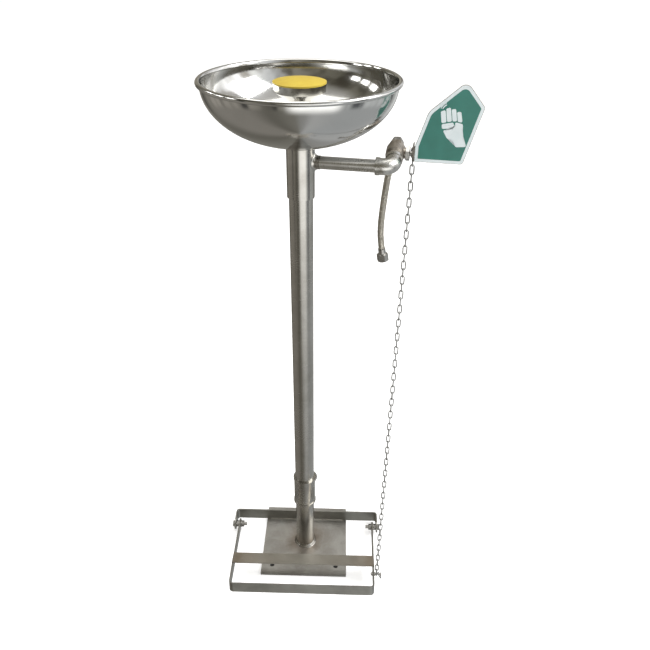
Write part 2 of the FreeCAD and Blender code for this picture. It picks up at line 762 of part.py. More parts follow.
def blade_box(thick, extra_depth, width):
    """The space of the stem's blade, or of its slot in the ball."""
    start = ball_d / 2 - stem_blade_depth - extra_depth
    corner = FreeCAD.Vector(start, -width / 2, valve_distance - thick / 2)
    return Part.makeBox(stem_blade_depth + extra_depth + stem_blade_root, width, thick, corner)


def valve_stem():
    """The stem: a blade in the ball, a round shank in the packing and flats for the flag."""
    centre = FreeCAD.Vector(0, 0, valve_distance)
    shank_start = ball_d / 2 + moving_gap
    end = flag_tab_x + flag_thick + handle_washer_thick + handle_nut_height + stem_tail
    shank = rod(stem_d / 2, centre + x_axis * shank_start, centre + x_axis * end)
    blade_round = rod(stem_d / 2, centre, centre + x_axis * (shank_start + 1))
    blade = blade_box(stem_blade, 0, stem_d).common(blade_round)
    body = shank.fuse(blade)
    for side in (-1, 1):
        low = valve_distance + (stem_flats / 2 if side > 0 else -stem_flats / 2 - stem_d)
        corner = FreeCAD.Vector(flag_tab_x, -stem_d, low)
        flat = Part.makeBox(flag_thick + handle_washer_thick, 2 * stem_d, stem_d, corner)
        body = body.cut(flat)
    return on_valve(body)


def stem_packing():
    """The packing ring in the valve's boss."""
    length = packing_length - disc_gap
    packing = ring(packing_d / 2, stem_d / 2 + stem_gap, 0, length)
    return on_stem(lay_along_x(packing, boss_reach - length))


def gland_nut():
    """The nut over the boss that presses the packing."""
    nut = hex_nut(gland_flats, stem_d / 2 + stem_gap, 0, gland_height)
    nut = nut.cut(post(boss_d / 2 + fit_gap, -1, boss_reach - gland_bottom + gland_press_gap))
    return on_stem(lay_along_x(nut, gland_bottom))


def handle_washer():
    """The washer between the flag's tab and its nut."""
    washer = ring(handle_washer_d / 2, stem_d / 2 + fit_gap, 0, handle_washer_thick - fit_gap)
    return on_stem(lay_along_x(washer, flag_tab_x + flag_thick + fit_gap / 2))


def handle_nut():
    """The nut that holds the flag on the stem."""
    nut = hex_nut(handle_nut_flats, stem_d / 2 + fit_gap, 0, handle_nut_height)
    return on_stem(lay_along_x(nut, flag_tab_x + flag_thick + handle_washer_thick + fit_gap))


def flag_outline():
    """The face's outline in the XZ plane, X from the tab's near face and Z from the stem's axis."""
    points = [FreeCAD.Vector(x, 0, z) for x, z in flag_corners + flag_corners[:1]]
    half = (points[0] + points[1]) * 0.5
    loop = [half] + points[1:-1] + [points[0], half]
    return Part.Wire(rounded_route(loop, flag_corner_radii).Edges)


def push_flag():
    """The bent plate: the hand's face in front, and the tab on the stem with the chain's eye."""
    face = Part.Face(flag_outline()).extrude(y_axis * flag_thick)
    face.translate(FreeCAD.Vector(flag_tab_x, -flag_face_forward, 0))
    outer_r = flag_bend_r + flag_thick
    bend_x = flag_tab_x + outer_r
    bend_y = outer_r - flag_face_forward
    low = FreeCAD.Vector(bend_x, bend_y, -flag_tab_drop)
    rise = flag_tab_drop + flag_tab_rise
    bend = Part.makeCylinder(outer_r, rise, low, z_axis)
    bend = bend.cut(Part.makeCylinder(flag_bend_r, rise, low, z_axis))
    quarter = FreeCAD.Vector(flag_tab_x, -flag_face_forward, low.z)
    bend = bend.common(Part.makeBox(outer_r, outer_r, rise, quarter))
    tab = tab_plate(bend_y, rise)
    flag = face.fuse([bend, tab]).removeSplitter()
    past_tab = 2 * flag_tab_x
    hole = rod(stem_d / 2 + fit_gap, origin, FreeCAD.Vector(past_tab, 0, 0))
    slot_height = stem_flats + 2 * fit_gap
    slot = Part.makeBox(past_tab, 2 * stem_d, slot_height, FreeCAD.Vector(0, -stem_d, -slot_height / 2))
    valve_turned_hole = hole.common(slot)
    valve_turned_hole.rotate(origin, x_axis, valve_tilt - 90)
    eye_y = chain_hole_y - stem_axis_y
    eye_z = chain_hole_z - stem_axis_z
    eye = rod(chain_hole_d / 2, FreeCAD.Vector(0, eye_y, eye_z), FreeCAD.Vector(past_tab, eye_y, eye_z))
    return on_stem(flag.cut([valve_turned_hole, eye]))


def tab_plate(front_y, rise):
    """The tab: a strip from the bend to the stem, round about the stem, with an ear for the chain."""
    start = FreeCAD.Vector(flag_tab_x, front_y, -flag_tab_drop)
    strip = Part.makeBox(flag_thick, -front_y, rise, start)
    boss = rod(tab_boss_r, FreeCAD.Vector(flag_tab_x, 0, 0), FreeCAD.Vector(flag_tab_x + flag_thick, 0, 0))
    ear_r = chain_hole_d / 2 + tab_ear_margin
    eye_y = chain_hole_y - stem_axis_y
    eye_z = chain_hole_z - stem_axis_z
    ear_start = FreeCAD.Vector(flag_tab_x, eye_y, eye_z)
    ear = rod(ear_r, ear_start, ear_start + x_axis * flag_thick)
    neck = Part.makeBox(flag_thick, chain_hole_r, 2 * ear_r, FreeCAD.Vector(flag_tab_x, 0, -ear_r))
    neck.rotate(origin, x_axis, chain_hole_angle)
    return strip.fuse([boss, ear, neck]).removeSplitter()


def flag_label():
    """The printed sheet on the front of the flag."""
    edge = flag_outline().makeOffset2D(-flag_label_margin)
    label = Part.Face(edge).extrude(y_axis * -flag_label_thick)
    label.translate(FreeCAD.Vector(flag_tab_x, -flag_face_forward, 0))
    return on_stem(label)


def pivot_bracket():
    """The flat bar bent round the back of the plate, with an eye for the pivot at each end."""
    middle_x = bracket_half_width - bar_thick / 2
    plan = [(-middle_x, pivot_y), (-middle_x, bracket_back_y), (middle_x, bracket_back_y),
            (middle_x, pivot_y)]
    height = bracket_bar_height
    middle_z = plate_thick + height / 2
    bar = swept_bar(plan, bracket_corner_r - bar_thick / 2, middle_z, height)
    eyes = [bar_eye(side * middle_x, pivot_y, middle_z, y_axis, height) for side in (-1, 1)]
    half = bracket_weld_half_length
    leg = bracket_weld_leg
    bar_face = bar_thick / 2
    weld = []
    for side in (-1, 1):
        corner = FreeCAD.Vector(-half, bracket_back_y + side * bar_face, plate_thick)
        out = corner + y_axis * (side * leg)
        up = corner + z_axis * leg
        weld.append(Part.Face(Part.makePolygon([corner, out, up, corner])).extrude(x_axis * (2 * half)))
    bar = bar.fuse(eyes + weld).removeSplitter()
    hole_r = pivot_bolt_d / 2 + fit_gap
    span = bracket_half_width + 5
    left_end = FreeCAD.Vector(-span, pivot_y, pivot_z)
    return bar.cut(rod(hole_r, left_end, FreeCAD.Vector(span, pivot_y, pivot_z)))


def pivot_bolts():
    """The two bolts that the treadle turns on, heads outside the bracket."""
    head = hexagon(pivot_flats, bracket_half_width, bracket_half_width + pivot_head_height)
    shank = post(pivot_bolt_d / 2, bracket_half_width - pivot_bolt_length, bracket_half_width + 1)
    bolt = lay_along_x(head.fuse(shank), 0, pivot_y, pivot_z)
    return both_sides(bolt)


def pivot_lock_nuts():
    """The nuts that clamp the bolts to the bracket's inner faces."""
    top = bracket_half_width - bar_thick
    nut = hex_nut(pivot_flats, pivot_bolt_d / 2 + fit_gap, top - pivot_nut_height, top)
    return both_sides(lay_along_x(nut, 0, pivot_y, pivot_z))


def pivot_washers():
    """The washers that the treadle's arms bear against, one on each side of each arm."""
    lock_face = bracket_half_width - bar_thick - pivot_nut_height
    outer_bottom = treadle_half_width_rear + pivot_side_gap
    inner_top = treadle_half_width_rear - bar_thick - pivot_side_gap
    bore_r = pivot_bolt_d / 2 + fit_gap
    washer_r = pivot_washer_d / 2
    outer = ring(washer_r, bore_r, outer_bottom, lock_face)
    inner = ring(washer_r, bore_r, inner_top - pivot_washer_thick, inner_top)
    pair = [lay_along_x(washer, 0, pivot_y, pivot_z) for washer in (outer, inner)]
    return Part.makeCompound([both_sides(washer) for washer in pair])


def pivot_end_nuts():
    """The nuts on the bolts' inner ends."""
    top = treadle_half_width_rear - bar_thick - pivot_side_gap - pivot_washer_thick
    nut = hex_nut(pivot_flats, pivot_bolt_d / 2 + fit_gap, top - pivot_nut_height, top)
    return both_sides(lay_along_x(nut, 0, pivot_y, pivot_z))


def treadle_half_width(y):
    """The outer half width of the tapered treadle frame at a place along it, level."""
    share = (pivot_y - y) / (pivot_y - treadle_front_y)
    return treadle_half_width_rear + share * (treadle_half_width_front - treadle_half_width_rear)


def treadle_frame():
    """The flat bar bent into the foot frame, with an eye at each rear end and the chain bolt's hole."""
    rear_x = treadle_half_width_rear - bar_thick / 2
    front_x = treadle_half_width_front - bar_thick / 2
    plan = [(-rear_x, pivot_y), (-front_x, treadle_front_y), (front_x, treadle_front_y), (rear_x, pivot_y)]
    bar = swept_bar(plan, treadle_corner_r - bar_thick / 2, pivot_z, bar_height)
    eyes = []
    for side in (-1, 1):
        heading = FreeCAD.Vector(side * (rear_x - front_x), pivot_y - treadle_front_y, 0).normalize()
        eyes.append(bar_eye(side * rear_x, pivot_y, pivot_z, heading, bar_height))
    bar = bar.fuse(eyes).removeSplitter()
    span = treadle_half_width_rear + 5
    pivot_hole = rod(pivot_bolt_d / 2 + pivot_gap, FreeCAD.Vector(-span, pivot_y, pivot_z),
                     FreeCAD.Vector(span, pivot_y, pivot_z))
    bolt_y = pivot_y - chain_bolt_reach
    bolt_hole = rod(chain_bolt_d / 2 + fit_gap, FreeCAD.Vector(0, bolt_y, pivot_z),
                    FreeCAD.Vector(span, bolt_y, pivot_z))
    return on_treadle(bar.cut([pivot_hole, bolt_hole]))


def tread_bar():
    """The flat bar across the arms that the foot presses."""
    half = treadle_half_width(tread_y)
    bottom = pivot_z + bar_height / 2
    corner = FreeCAD.Vector(-half, tread_y - tread_width / 2, bottom)
    return on_treadle(Part.makeBox(2 * half, tread_width, tread_thick, corner))


def chain_x():
    """The chain's place along X at its lower end, in the plane of the flag's tab."""
    yaw = math.radians(head_yaw)
    bolt_y = chain_end().y
    return (tab_x - math.sin(yaw) * bolt_y) / math.cos(yaw)


def chain_end():
    """The chain bolt's axis at rest, at X = 0."""
    level = FreeCAD.Vector(0, -chain_bolt_reach, 0)
    return FreeCAD.Rotation(x_axis, -treadle_travel).multVec(level) + FreeCAD.Vector(0, pivot_y, pivot_z)


def on_chain_bolt(shape):
    """Places a piece built along Z onto the chain bolt's axis."""
    return on_treadle(lay_along_x(shape, 0, pivot_y - chain_bolt_reach, pivot_z))


def chain_bolt():
    """The screw through the treadle's right arm, its head outside the chain."""
    head_bottom_x = chain_x() + tail_offset + chain_bolt_head_gap
    inner_face = treadle_half_width(pivot_y - chain_bolt_reach) - bar_thick
    shank = post(chain_bolt_d / 2, inner_face - chain_nut_height - chain_bolt_stub, head_bottom_x + 1)
    head = hexagon(chain_bolt_flats, head_bottom_x, head_bottom_x + chain_bolt_head)
    return on_chain_bolt(head.fuse(shank))


def chain_nuts():
    """The nuts on each side of the arm that fix the screw."""
    arm_face = treadle_half_width(pivot_y - chain_bolt_reach)
    bore_r = chain_bolt_d / 2 + fit_gap
    outer_face = arm_face + chain_nut_side_gap
    inner_face = arm_face - bar_thick - chain_nut_side_gap
    outer = hex_nut(chain_bolt_flats, bore_r, outer_face, outer_face + chain_nut_height)
    inner = hex_nut(chain_bolt_flats, bore_r, inner_face - chain_nut_height, inner_face)
    return Part.makeCompound([on_chain_bolt(outer), on_chain_bolt(inner)])


def link(straight):
    """One chain link, its length along Z and its width along X."""
    bend_r = (chain_inner_width + chain_wire) / 2
    half = straight / 2
    wire_r = chain_wire / 2
    turn = Part.makeTorus(bend_r, wire_r, origin, y_axis)
    space = 2 * bend_r + chain_wire
    upper = turn.common(Part.makeBox(2 * space, 2 * space, space, FreeCAD.Vector(-space, -space, 0)))
    lower = turn.cut(Part.makeBox(2 * space, 2 * space, space, FreeCAD.Vector(-space, -space, 0)))
    upper.translate(FreeCAD.Vector(0, 0, half))
    lower.translate(FreeCAD.Vector(0, 0, -half))
    legs = [post(wire_r, -half, half, side * bend_r) for side in (-1, 1)]
    return upper.fuse([lower] + legs).removeSplitter()


def placed_link(piece, centre, along, across_way):
    """A link with its length along one direction and its width along another."""
    third = along.cross(across_way)
    frame = FreeCAD.Matrix(across_way.x, third.x, along.x, centre.x,
                           across_way.y, third.y, along.y, centre.y,
                           across_way.z, third.z, along.z, centre.z, 0, 0, 0, 1)
    return piece.transformed(frame)


def chain_layout():
    """The chain's line, its number of links and the straight length of each link's sides."""
    foot = chain_end()
    foot.x = chain_x()
    top = point_on_head(tab_x, chain_hole_y + chain_hole_side, chain_hole_z - chain_hole_drop)
    line = top - foot
    count = 2 * round(line.Length / (2 * chain_pitch_wanted))
    bend_r = (chain_inner_width + chain_wire) / 2
    nest = chain_inner_width - chain_slack
    straight = (line.Length - bend_r - (count - 1) * nest) / count
    return foot, line.normalize(), count, straight, straight + nest


def chain():
    """The chain from the treadle's bolt to the flag's ear, every other link turned a quarter."""
    foot, along, count, straight, pitch = chain_layout()
    piece = link(straight)
    sideways = (x_axis - along * along.dot(x_axis)).normalize()
    head_way = point_on_head(1, 0, 0)
    head_way = (head_way - along * along.dot(head_way)).normalize()
    twist = math.degrees(math.atan2(along.dot(sideways.cross(head_way)), sideways.dot(head_way)))
    links = []
    for step in range(count):
        centre = foot + along * (straight / 2 + step * pitch)
        turn = 90 + 90 * step + twist * step / (count - 1)
        across_way = FreeCAD.Rotation(along, turn).multVec(sideways)
        links.append(placed_link(piece, centre, along, across_way))
    return Part.makeCompound(links)


def chain_tail():
    """The spare link left over on the bolt, leaning outwards."""
    straight = chain_layout()[3]
    foot = chain_end()
    lean = math.radians(tail_tilt)
    along = FreeCAD.Vector(-math.sin(lean), 0, math.cos(lean))
    centre = FreeCAD.Vector(chain_x() + tail_offset, foot.y, foot.z) - along * (straight / 2 - tail_seat)
    return placed_link(link(straight), centre, along, y_axis)


def hose_washer():
    """The rubber washer between the valve's thread and the hose's tail."""
    bottom = cap_end()
    return on_valve(ring(tail_flange_d / 2, tail_bore_d / 2, bottom, bottom + hose_washer_thick))


def cap_end():
    """The valve's open end along the flow."""
    return elbow_leg + 2 * fit_gap + valve_hex_length + valve_body_length + cap_hex_length + cap_thread_length


def upper_hose_nut():
    """The swivel nut that holds the hose on the valve."""
    bottom = cap_end() - cap_thread_length + hose_nut_wall
    flange_top = cap_end() + hose_washer_thick + tail_flange_thick + fit_gap
    nut = hex_nut(hose_nut_flats, tail_tube_d / 2 + moving_gap, bottom, bottom + hose_nut_length)
    nut = nut.cut(post(cap_thread_d / 2 + fit_gap, bottom - 1, flange_top))
    return on_valve(nut)


def tail_heading():
    """The direction of the upper tail's outlet in the valve's frame."""
    swivel = math.radians(tail_swivel)
    return FreeCAD.Vector(-math.sin(swivel), math.cos(swivel), 0)


def upper_hose_tail():
    """The bent tube that turns the hose down behind the valve."""
    bottom = cap_end() + hose_washer_thick
    corner = FreeCAD.Vector(0, 0, tail_corner)
    end = corner + tail_heading() * (upper_ferrule_start + tail_insert)
    start = FreeCAD.Vector(0, 0, bottom)
    route = rounded_route([start, corner, end], [tail_bend_r])
    flange = post(tail_flange_d / 2, bottom, bottom + tail_flange_thick)
    body = swept_rod(route, tail_tube_d / 2).fuse(flange)
    long_route = rounded_route([start - z_axis, corner, end + tail_heading()], [tail_bend_r])
    return on_valve(body.cut(swept_rod(long_route, tail_bore_d / 2)))


def upper_ferrule():
    """The sleeve crimped on the hose's upper end."""
    corner = FreeCAD.Vector(0, 0, tail_corner)
    start = corner + tail_heading() * upper_ferrule_start
    end = start + tail_heading() * upper_ferrule_length
    sleeve = rod(ferrule_d / 2, start, end)
    tail_space = rod(tail_tube_d / 2 + fit_gap, start - tail_heading(),
                     start + tail_heading() * (tail_insert + disc_gap))
    return on_valve(sleeve.cut(tail_space))


def hose_route():
    """The hose's points, from the upper ferrule's mouth down to the lower ferrule."""
    corner = FreeCAD.Vector(0, 0, tail_corner)
    mouth = corner + tail_heading() * (upper_ferrule_start + upper_ferrule_length)
    lead = mouth + tail_heading() * hose_lead
    start = [point_on_valve(mouth.x, mouth.y, mouth.z), point_on_valve(lead.x, lead.y, lead.z)]
    return start + [FreeCAD.Vector(*point) for point in hose_points]


def hose():
    """The braided inlet hose as a plain tube: straight runs joined by the largest tangent arcs."""
    points = hose_route()
    radii = []
    for before, corner, after in zip(points, points[1:], points[2:]):
        back = before - corner
        ahead = after - corner
        half_turn = (math.pi - back.getAngle(ahead)) / 2
        radii.append(hose_corner_share * min(back.Length, ahead.Length) / math.tan(half_turn))
    route = rounded_route(points, radii)
    tube = swept_rod(route, hose_d / 2)
    expected = math.pi * (hose_d / 2) ** 2 * route.Length
    print("hose bend radii:", [round(radius) for radius in radii], "length:", round(route.Length, 1))
    print("hose volume over section times length:", round(tube.Volume / expected, 5))
    return tube


def hose_end_heading():
    """The direction in which the hose's free end points."""
    points = hose_route()
    return (points[-1] - points[-2]).normalize()


def lower_ferrule():
    """The sleeve crimped on the hose's free end."""
    start = hose_route()[-1]
    return rod(ferrule_d / 2, start, start + hose_end_heading() * lower_ferrule_length)


def lower_hose_nut():
    """The nut on the hose's free end, where the water supply is connected."""
    start = hose_route()[-1] + hose_end_heading() * lower_ferrule_length
    nut = hexagon(hose_nut_flats, 0, lower_nut_length)
    nut = nut.cut(post(hose_thread_d / 2, hose_nut_wall, lower_nut_length + 1))
    placement = FreeCAD.Placement(start, FreeCAD.Rotation(z_axis, hose_end_heading()))
    return nut.transformed(placement.toMatrix())


pieces = {
    "base_plate": base_plate,
    "stub_pipe": stub_pipe,
    "drain_tee": drain_tee,
    "main_pipe": main_pipe,
    "inlet_tee": inlet_tee,
    "inlet_arm": inlet_arm,
    "inner_elbow": inner_elbow,
    "riser_pipe": riser_pipe,
    "arm_elbow": arm_elbow,
    "bowl": bowl,
    "bowl_collar": bowl_collar,
    "bowl_gaskets": bowl_gaskets,
    "drain_flange": drain_flange,
    "spray_housing": spray_housing,
    "aerator_screen": aerator_screen,
    "nozzle_gasket": nozzle_gasket,
    "nozzle_plate": nozzle_plate,
    "nozzle_ring": nozzle_ring,
    "dust_cover": dust_cover,
    "valve_body": valve_body,
    "valve_cap": valve_cap,
    "ball_seats": ball_seats,
    "valve_ball": valve_ball,
    "valve_stem": valve_stem,
    "stem_packing": stem_packing,
    "gland_nut": gland_nut,
    "handle_washer": handle_washer,
    "handle_nut": handle_nut,
    "push_flag": push_flag,
    "flag_label": flag_label,
    "pivot_bracket": pivot_bracket,
    "pivot_bolts": pivot_bolts,
    "pivot_lock_nuts": pivot_lock_nuts,
    "pivot_washers": pivot_washers,
    "pivot_end_nuts": pivot_end_nuts,
    "treadle_frame": treadle_frame,
    "tread_bar": tread_bar,
    "chain_bolt": chain_bolt,
    "chain_nuts": chain_nuts,
    "chain": chain,
    "chain_tail": chain_tail,
    "hose_washer": hose_washer,
    "upper_hose_nut": upper_hose_nut,
    "upper_hose_tail": upper_hose_tail,
    "upper_ferrule": upper_ferrule,
    "hose": hose,
    "lower_ferrule": lower_ferrule,
    "lower_hose_nut": lower_hose_nut,
}

os.makedirs("parts", exist_ok=True)
for node, build in pieces.items():
    shape = build()
    shape.exportStep(os.path.join("parts", node + ".step"))
    print(node, "solids:", len(shape.Solids), "valid:", shape.isValid(), "volume:", round(shape.Volume, 1))
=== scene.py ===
import json
import math

import bmesh
import bpy
from mathutils import Matrix, Vector


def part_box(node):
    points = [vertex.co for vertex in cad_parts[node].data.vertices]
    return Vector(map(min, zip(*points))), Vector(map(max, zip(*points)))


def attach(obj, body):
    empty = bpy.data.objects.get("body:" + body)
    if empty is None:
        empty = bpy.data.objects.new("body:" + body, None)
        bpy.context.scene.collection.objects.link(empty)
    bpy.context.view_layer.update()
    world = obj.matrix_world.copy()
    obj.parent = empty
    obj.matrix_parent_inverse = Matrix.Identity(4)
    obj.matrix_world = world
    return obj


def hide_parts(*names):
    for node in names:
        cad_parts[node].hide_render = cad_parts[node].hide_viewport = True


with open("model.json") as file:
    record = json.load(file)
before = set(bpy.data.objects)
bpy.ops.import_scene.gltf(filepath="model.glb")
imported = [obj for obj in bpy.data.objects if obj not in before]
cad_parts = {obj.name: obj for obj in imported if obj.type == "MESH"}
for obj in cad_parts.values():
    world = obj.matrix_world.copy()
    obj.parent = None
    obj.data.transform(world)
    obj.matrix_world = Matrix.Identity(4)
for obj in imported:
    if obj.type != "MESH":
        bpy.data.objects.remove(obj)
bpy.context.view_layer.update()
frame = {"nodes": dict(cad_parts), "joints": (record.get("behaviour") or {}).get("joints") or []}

mm = 0.001
zAxis = Vector((0, 0, 1))
joints = {joint["name"]: joint for joint in frame["joints"]}
stemPoint = Vector(joints["valve_turn"]["pos_m"])
headSide = -Vector(joints["valve_turn"]["axis"]).normalized()  # along the inlet arm, away from the pole
headBack = zAxis.cross(headSide)  # level, away from the user
chainFoot = Vector(joints["chain_swing"]["pos_m"])


# Camera

cameraSet = {"place": (0.0656, -1.0541, 1.2985), "yaw": 1.206, "tip": 57.70, "roll": 0.515, "lens": 35.55}


def makeCamera():
    camera = bpy.data.objects.new("camera", bpy.data.cameras.new("camera"))
    bpy.context.scene.collection.objects.link(camera)
    camera.data.lens = cameraSet["lens"]
    camera.data.sensor_width = 36
    camera.data.clip_start = 0.02
    turn = Matrix.Rotation(math.radians(cameraSet["yaw"]), 4, "Z")
    turn = turn @ Matrix.Rotation(math.radians(cameraSet["tip"]), 4, "X")
    turn = turn @ Matrix.Rotation(math.radians(cameraSet["roll"]), 4, "Z")
    camera.matrix_world = Matrix.Translation(cameraSet["place"]) @ turn
    bpy.context.scene.camera = camera


# Finishes

class NodeMaker:
    # A node tree, with short ways to add the usual nodes
    def __init__(self, tree):
        self.tree = tree

    def link(self, source, target):
        self.tree.links.new(source, target)

    def feed(self, value, socket):
        # A link from another node, or a plain value
        if isinstance(value, bpy.types.NodeSocket):
            self.link(value, socket)
        else:
            socket.default_value = value

    def node(self, kind, **settings):
        made = self.tree.nodes.new(kind)
        for key, value in settings.items():
            setattr(made, key, value)
        return made

    def math(self, operation, *values):
        made = self.node("ShaderNodeMath", operation=operation)
        for value, socket in zip(values, made.inputs):
            self.feed(value, socket)
        return made.outputs[0]

    def apart(self, vector):
        split = self.node("ShaderNodeSeparateXYZ")
        self.link(vector, split.inputs[0])
        return split.outputs["X"], split.outputs["Y"], split.outputs["Z"]

    def joined(self, **parts):
        made = self.node("ShaderNodeCombineXYZ")
        for name, value in parts.items():
            self.link(value, made.inputs[name])
        return made.outputs[0]

    def noise(self, vector, scale, detail=3.0, rough=0.55, distortion=0.0):
        made = self.node("ShaderNodeTexNoise")
        made.inputs["Scale"].default_value = scale
        made.inputs["Detail"].default_value = detail
        made.inputs["Roughness"].default_value = rough
        made.inputs["Distortion"].default_value = distortion
        self.link(vector, made.inputs["Vector"])
        return made.outputs["Fac"]

    def ramp(self, value, stops, interpolation="LINEAR"):
        # Stops are a place and a grey or a color
        made = self.node("ShaderNodeValToRGB")
        made.color_ramp.interpolation = interpolation
        elements = made.color_ramp.elements
        while len(elements) < len(stops):
            elements.new(0.5)
        for element, (position, color) in zip(elements, stops):
            element.position = position
            element.color = (*color, 1) if isinstance(color, tuple) else (color, color, color, 1)
        self.link(value, made.inputs["Fac"])
        return made.outputs["Color"]

    def mix(self, factor, first, second, blend="MIX"):
        made = self.node("ShaderNodeMix", data_type="RGBA", blend_type=blend)
        self.feed(factor, made.inputs[0])
        for index, color in ((6, first), (7, second)):
            self.feed((*color, 1) if isinstance(color, tuple) else color, made.inputs[index])
        return made.outputs[2]


class Recipe(NodeMaker):
    # One material's tree, built round its main shader
    def __init__(self, name, color, metallic, roughness):
        self.material = bpy.data.materials.new(name)
        self.material.use_nodes = True
        super().__init__(self.material.node_tree)
        self.shader = self.tree.nodes["Principled BSDF"]
        self.set("Base Color", (*color, 1))
        self.set("Metallic", metallic)
        self.set("Roughness", roughness)
        self.material.diffuse_color = (*color, 1)
        self.material.metallic = metallic
        self.material.roughness = roughness

    def set(self, socket, value):
        self.shader.inputs[socket].default_value = value

    def use(self, socket, source):
        self.link(source, self.shader.inputs[socket])

    def place(self, scale=(1, 1, 1), shift=(0, 0, 0)):
        # Object coordinates, scaled so that a pattern can be stretched along one way
        coordinates = self.node("ShaderNodeTexCoord")
        mapping = self.node("ShaderNodeMapping")
        mapping.inputs["Scale"].default_value = scale
        mapping.inputs["Location"].default_value = shift
        self.link(coordinates.outputs["Object"], mapping.inputs["Vector"])
        return mapping.outputs["Vector"]

    def around(self):
        # Distance from the upright axis and height, for marks left by spinning or turning
        x, y, z = self.apart(self.place())
        length = self.node("ShaderNodeVectorMath", operation="LENGTH")
        self.link(self.joined(X=x, Y=y), length.inputs[0])
        return self.joined(X=length.outputs["Value"], Z=z)

    def cells(self, vector, scale):
        made = self.node("ShaderNodeTexVoronoi")
        made.inputs["Scale"].default_value = scale
        self.link(vector, made.inputs["Vector"])
        return made.outputs["Distance"]

    def bump(self, height, distance, strength=1.0, under=None):
        made = self.node("ShaderNodeBump")
        made.inputs["Distance"].default_value = distance
        made.inputs["Strength"].default_value = strength
        self.link(height, made.inputs["Height"])
        if under is not None:
            self.link(under, made.inputs["Normal"])
        return made.outputs["Normal"]


metalSet = {
    # two colors and the scale of their clouds, roughness from and to, grain stretch and depth, dents
    "satinPipe": {
        "color": (0.50, 0.485, 0.45), "second": (0.40, 0.385, 0.35), "cloud": 14, "rough": (0.17, 0.30),
        "grain": (60, 60, 1400), "grainDepth": 0.000007, "dent": 0.00010, "dentScale": 45},
    "brushedArm": {
        "color": (0.68, 0.67, 0.64), "second": (0.56, 0.545, 0.51), "cloud": 22, "rough": (0.22, 0.36),
        "grain": (1200, 90, 90), "grainDepth": 0.000005, "dent": 0.00008, "dentScale": 60},
    "rolledBar": {
        "color": (0.40, 0.395, 0.365), "second": (0.31, 0.305, 0.28), "cloud": 16, "rough": (0.30, 0.48),
        "grain": (90, 700, 700), "grainDepth": 0.000020, "dent": 0.00018, "dentScale": 70},
    "castSteel": {
        "color": (0.44, 0.40, 0.35), "second": (0.29, 0.255, 0.215), "cloud": 45, "rough": (0.26, 0.44),
        "grain": (900, 900, 900), "grainDepth": 0.000060, "dent": 0.00035, "dentScale": 160},
    "turnedSteel": {
        "color": (0.46, 0.45, 0.43), "second": (0.34, 0.33, 0.31), "cloud": 60, "rough": (0.20, 0.36),
        "grain": (1500, 1500, 1500), "grainDepth": 0.000015, "dent": 0.00010, "dentScale": 120},
    "galvanised": {
        "color": (0.46, 0.46, 0.45), "second": (0.33, 0.33, 0.32), "cloud": 240, "rough": (0.28, 0.50),
        "grain": (1800, 1800, 1800), "grainDepth": 0.000030, "dent": 0.00015, "dentScale": 300},
    "weldBead": {
        "color": (0.42, 0.38, 0.32), "second": (0.18, 0.14, 0.11), "cloud": 110, "rough": (0.20, 0.40),
        "grain": (1600, 1600, 1600), "grainDepth": 0.000030, "dent": 0.00020, "dentScale": 260},
}
metalSet["basePlate"] = dict(
    metalSet["rolledBar"], color=(0.41, 0.40, 0.38), second=(0.35, 0.34, 0.32), cloud=20,
    rough=(0.34, 0.55), grain=(260, 260, 260))
metalSet["treadSteel"] = dict(
    metalSet["rolledBar"], color=(0.48, 0.465, 0.43), second=(0.41, 0.395, 0.36))
metalSet["elbowSteel"] = dict(
    metalSet["castSteel"], color=(0.64, 0.63, 0.60), second=(0.50, 0.485, 0.45), rough=(0.15, 0.28))


def makeMetal(name, tint=None):
    setup = metalSet[name]
    recipe = Recipe(name, setup["color"], 1.0, setup["rough"][0])
    plain = recipe.place()
    cloud = recipe.noise(plain, setup["cloud"], 5, 0.6, 0.4)
    shade = recipe.ramp(cloud, [(0.33, setup["second"]), (0.62, setup["color"])])
    fine = recipe.noise(recipe.place(scale=setup["grain"]), 1.0, 4, 0.7)
    shade = recipe.mix(0.22, shade, recipe.ramp(fine, [(0.3, 0.55), (0.7, 1.0)]), "MULTIPLY")
    if tint:
        shade = tint(recipe, shade)
    recipe.use("Base Color", shade)
    smear = recipe.noise(recipe.place(shift=(3, 1, 2)), setup["cloud"] * 0.6, 4, 0.65, 0.8)
    low, high = setup["rough"]
    recipe.use("Roughness", recipe.ramp(recipe.mix(0.45, smear, fine), [(0.35, low), (0.65, high)]))
    dents = recipe.bump(recipe.noise(plain, setup["dentScale"], 2), setup["dent"], 0.6)
    recipe.use("Normal", recipe.bump(fine, setup["grainDepth"] * 10, 0.35, dents))
    return recipe.material


heatSet = {
    # noise that moves the bands, how far it moves them, how soon they follow, and their colors
    "tread": {"noise": (55, 3), "wander": 0.02, "reach": 5.0, "bands": [
        (0.0, (1, 0.99, 0.96)), (0.55, (1, 0.97, 0.93)), (0.74, (1, 0.93, 0.86)),
        (0.81, (0.90, 0.80, 0.70)), (0.88, (0.78, 0.74, 0.72)), (1.0, (0.84, 0.82, 0.78))]},
    "foot": {"noise": (38, 4, 0.65, 0.6), "wander": 0.045, "reach": 7.0, "bands": [
        (0.26, (0.60, 0.51, 0.44)), (0.38, (0.80, 0.74, 0.69)), (0.50, (0.96, 0.94, 0.92)),
        (0.7, (1, 1, 1))]},
}
blotSet = {"noise": (19, 6, 0.7, 1.2), "bands": [(0.42, (0.88, 0.865, 0.84)), (0.58, (1.05, 1.05, 1.03))],
           "share": 0.8}


def heatBands(recipe, shade, distance, setup):
    loose = recipe.noise(recipe.place(), *setup["noise"])
    wander = recipe.math("MULTIPLY_ADD", loose, setup["wander"], distance)
    tint = recipe.ramp(recipe.math("MULTIPLY", wander, setup["reach"]), setup["bands"])
    return recipe.mix(1.0, shade, tint, "MULTIPLY")


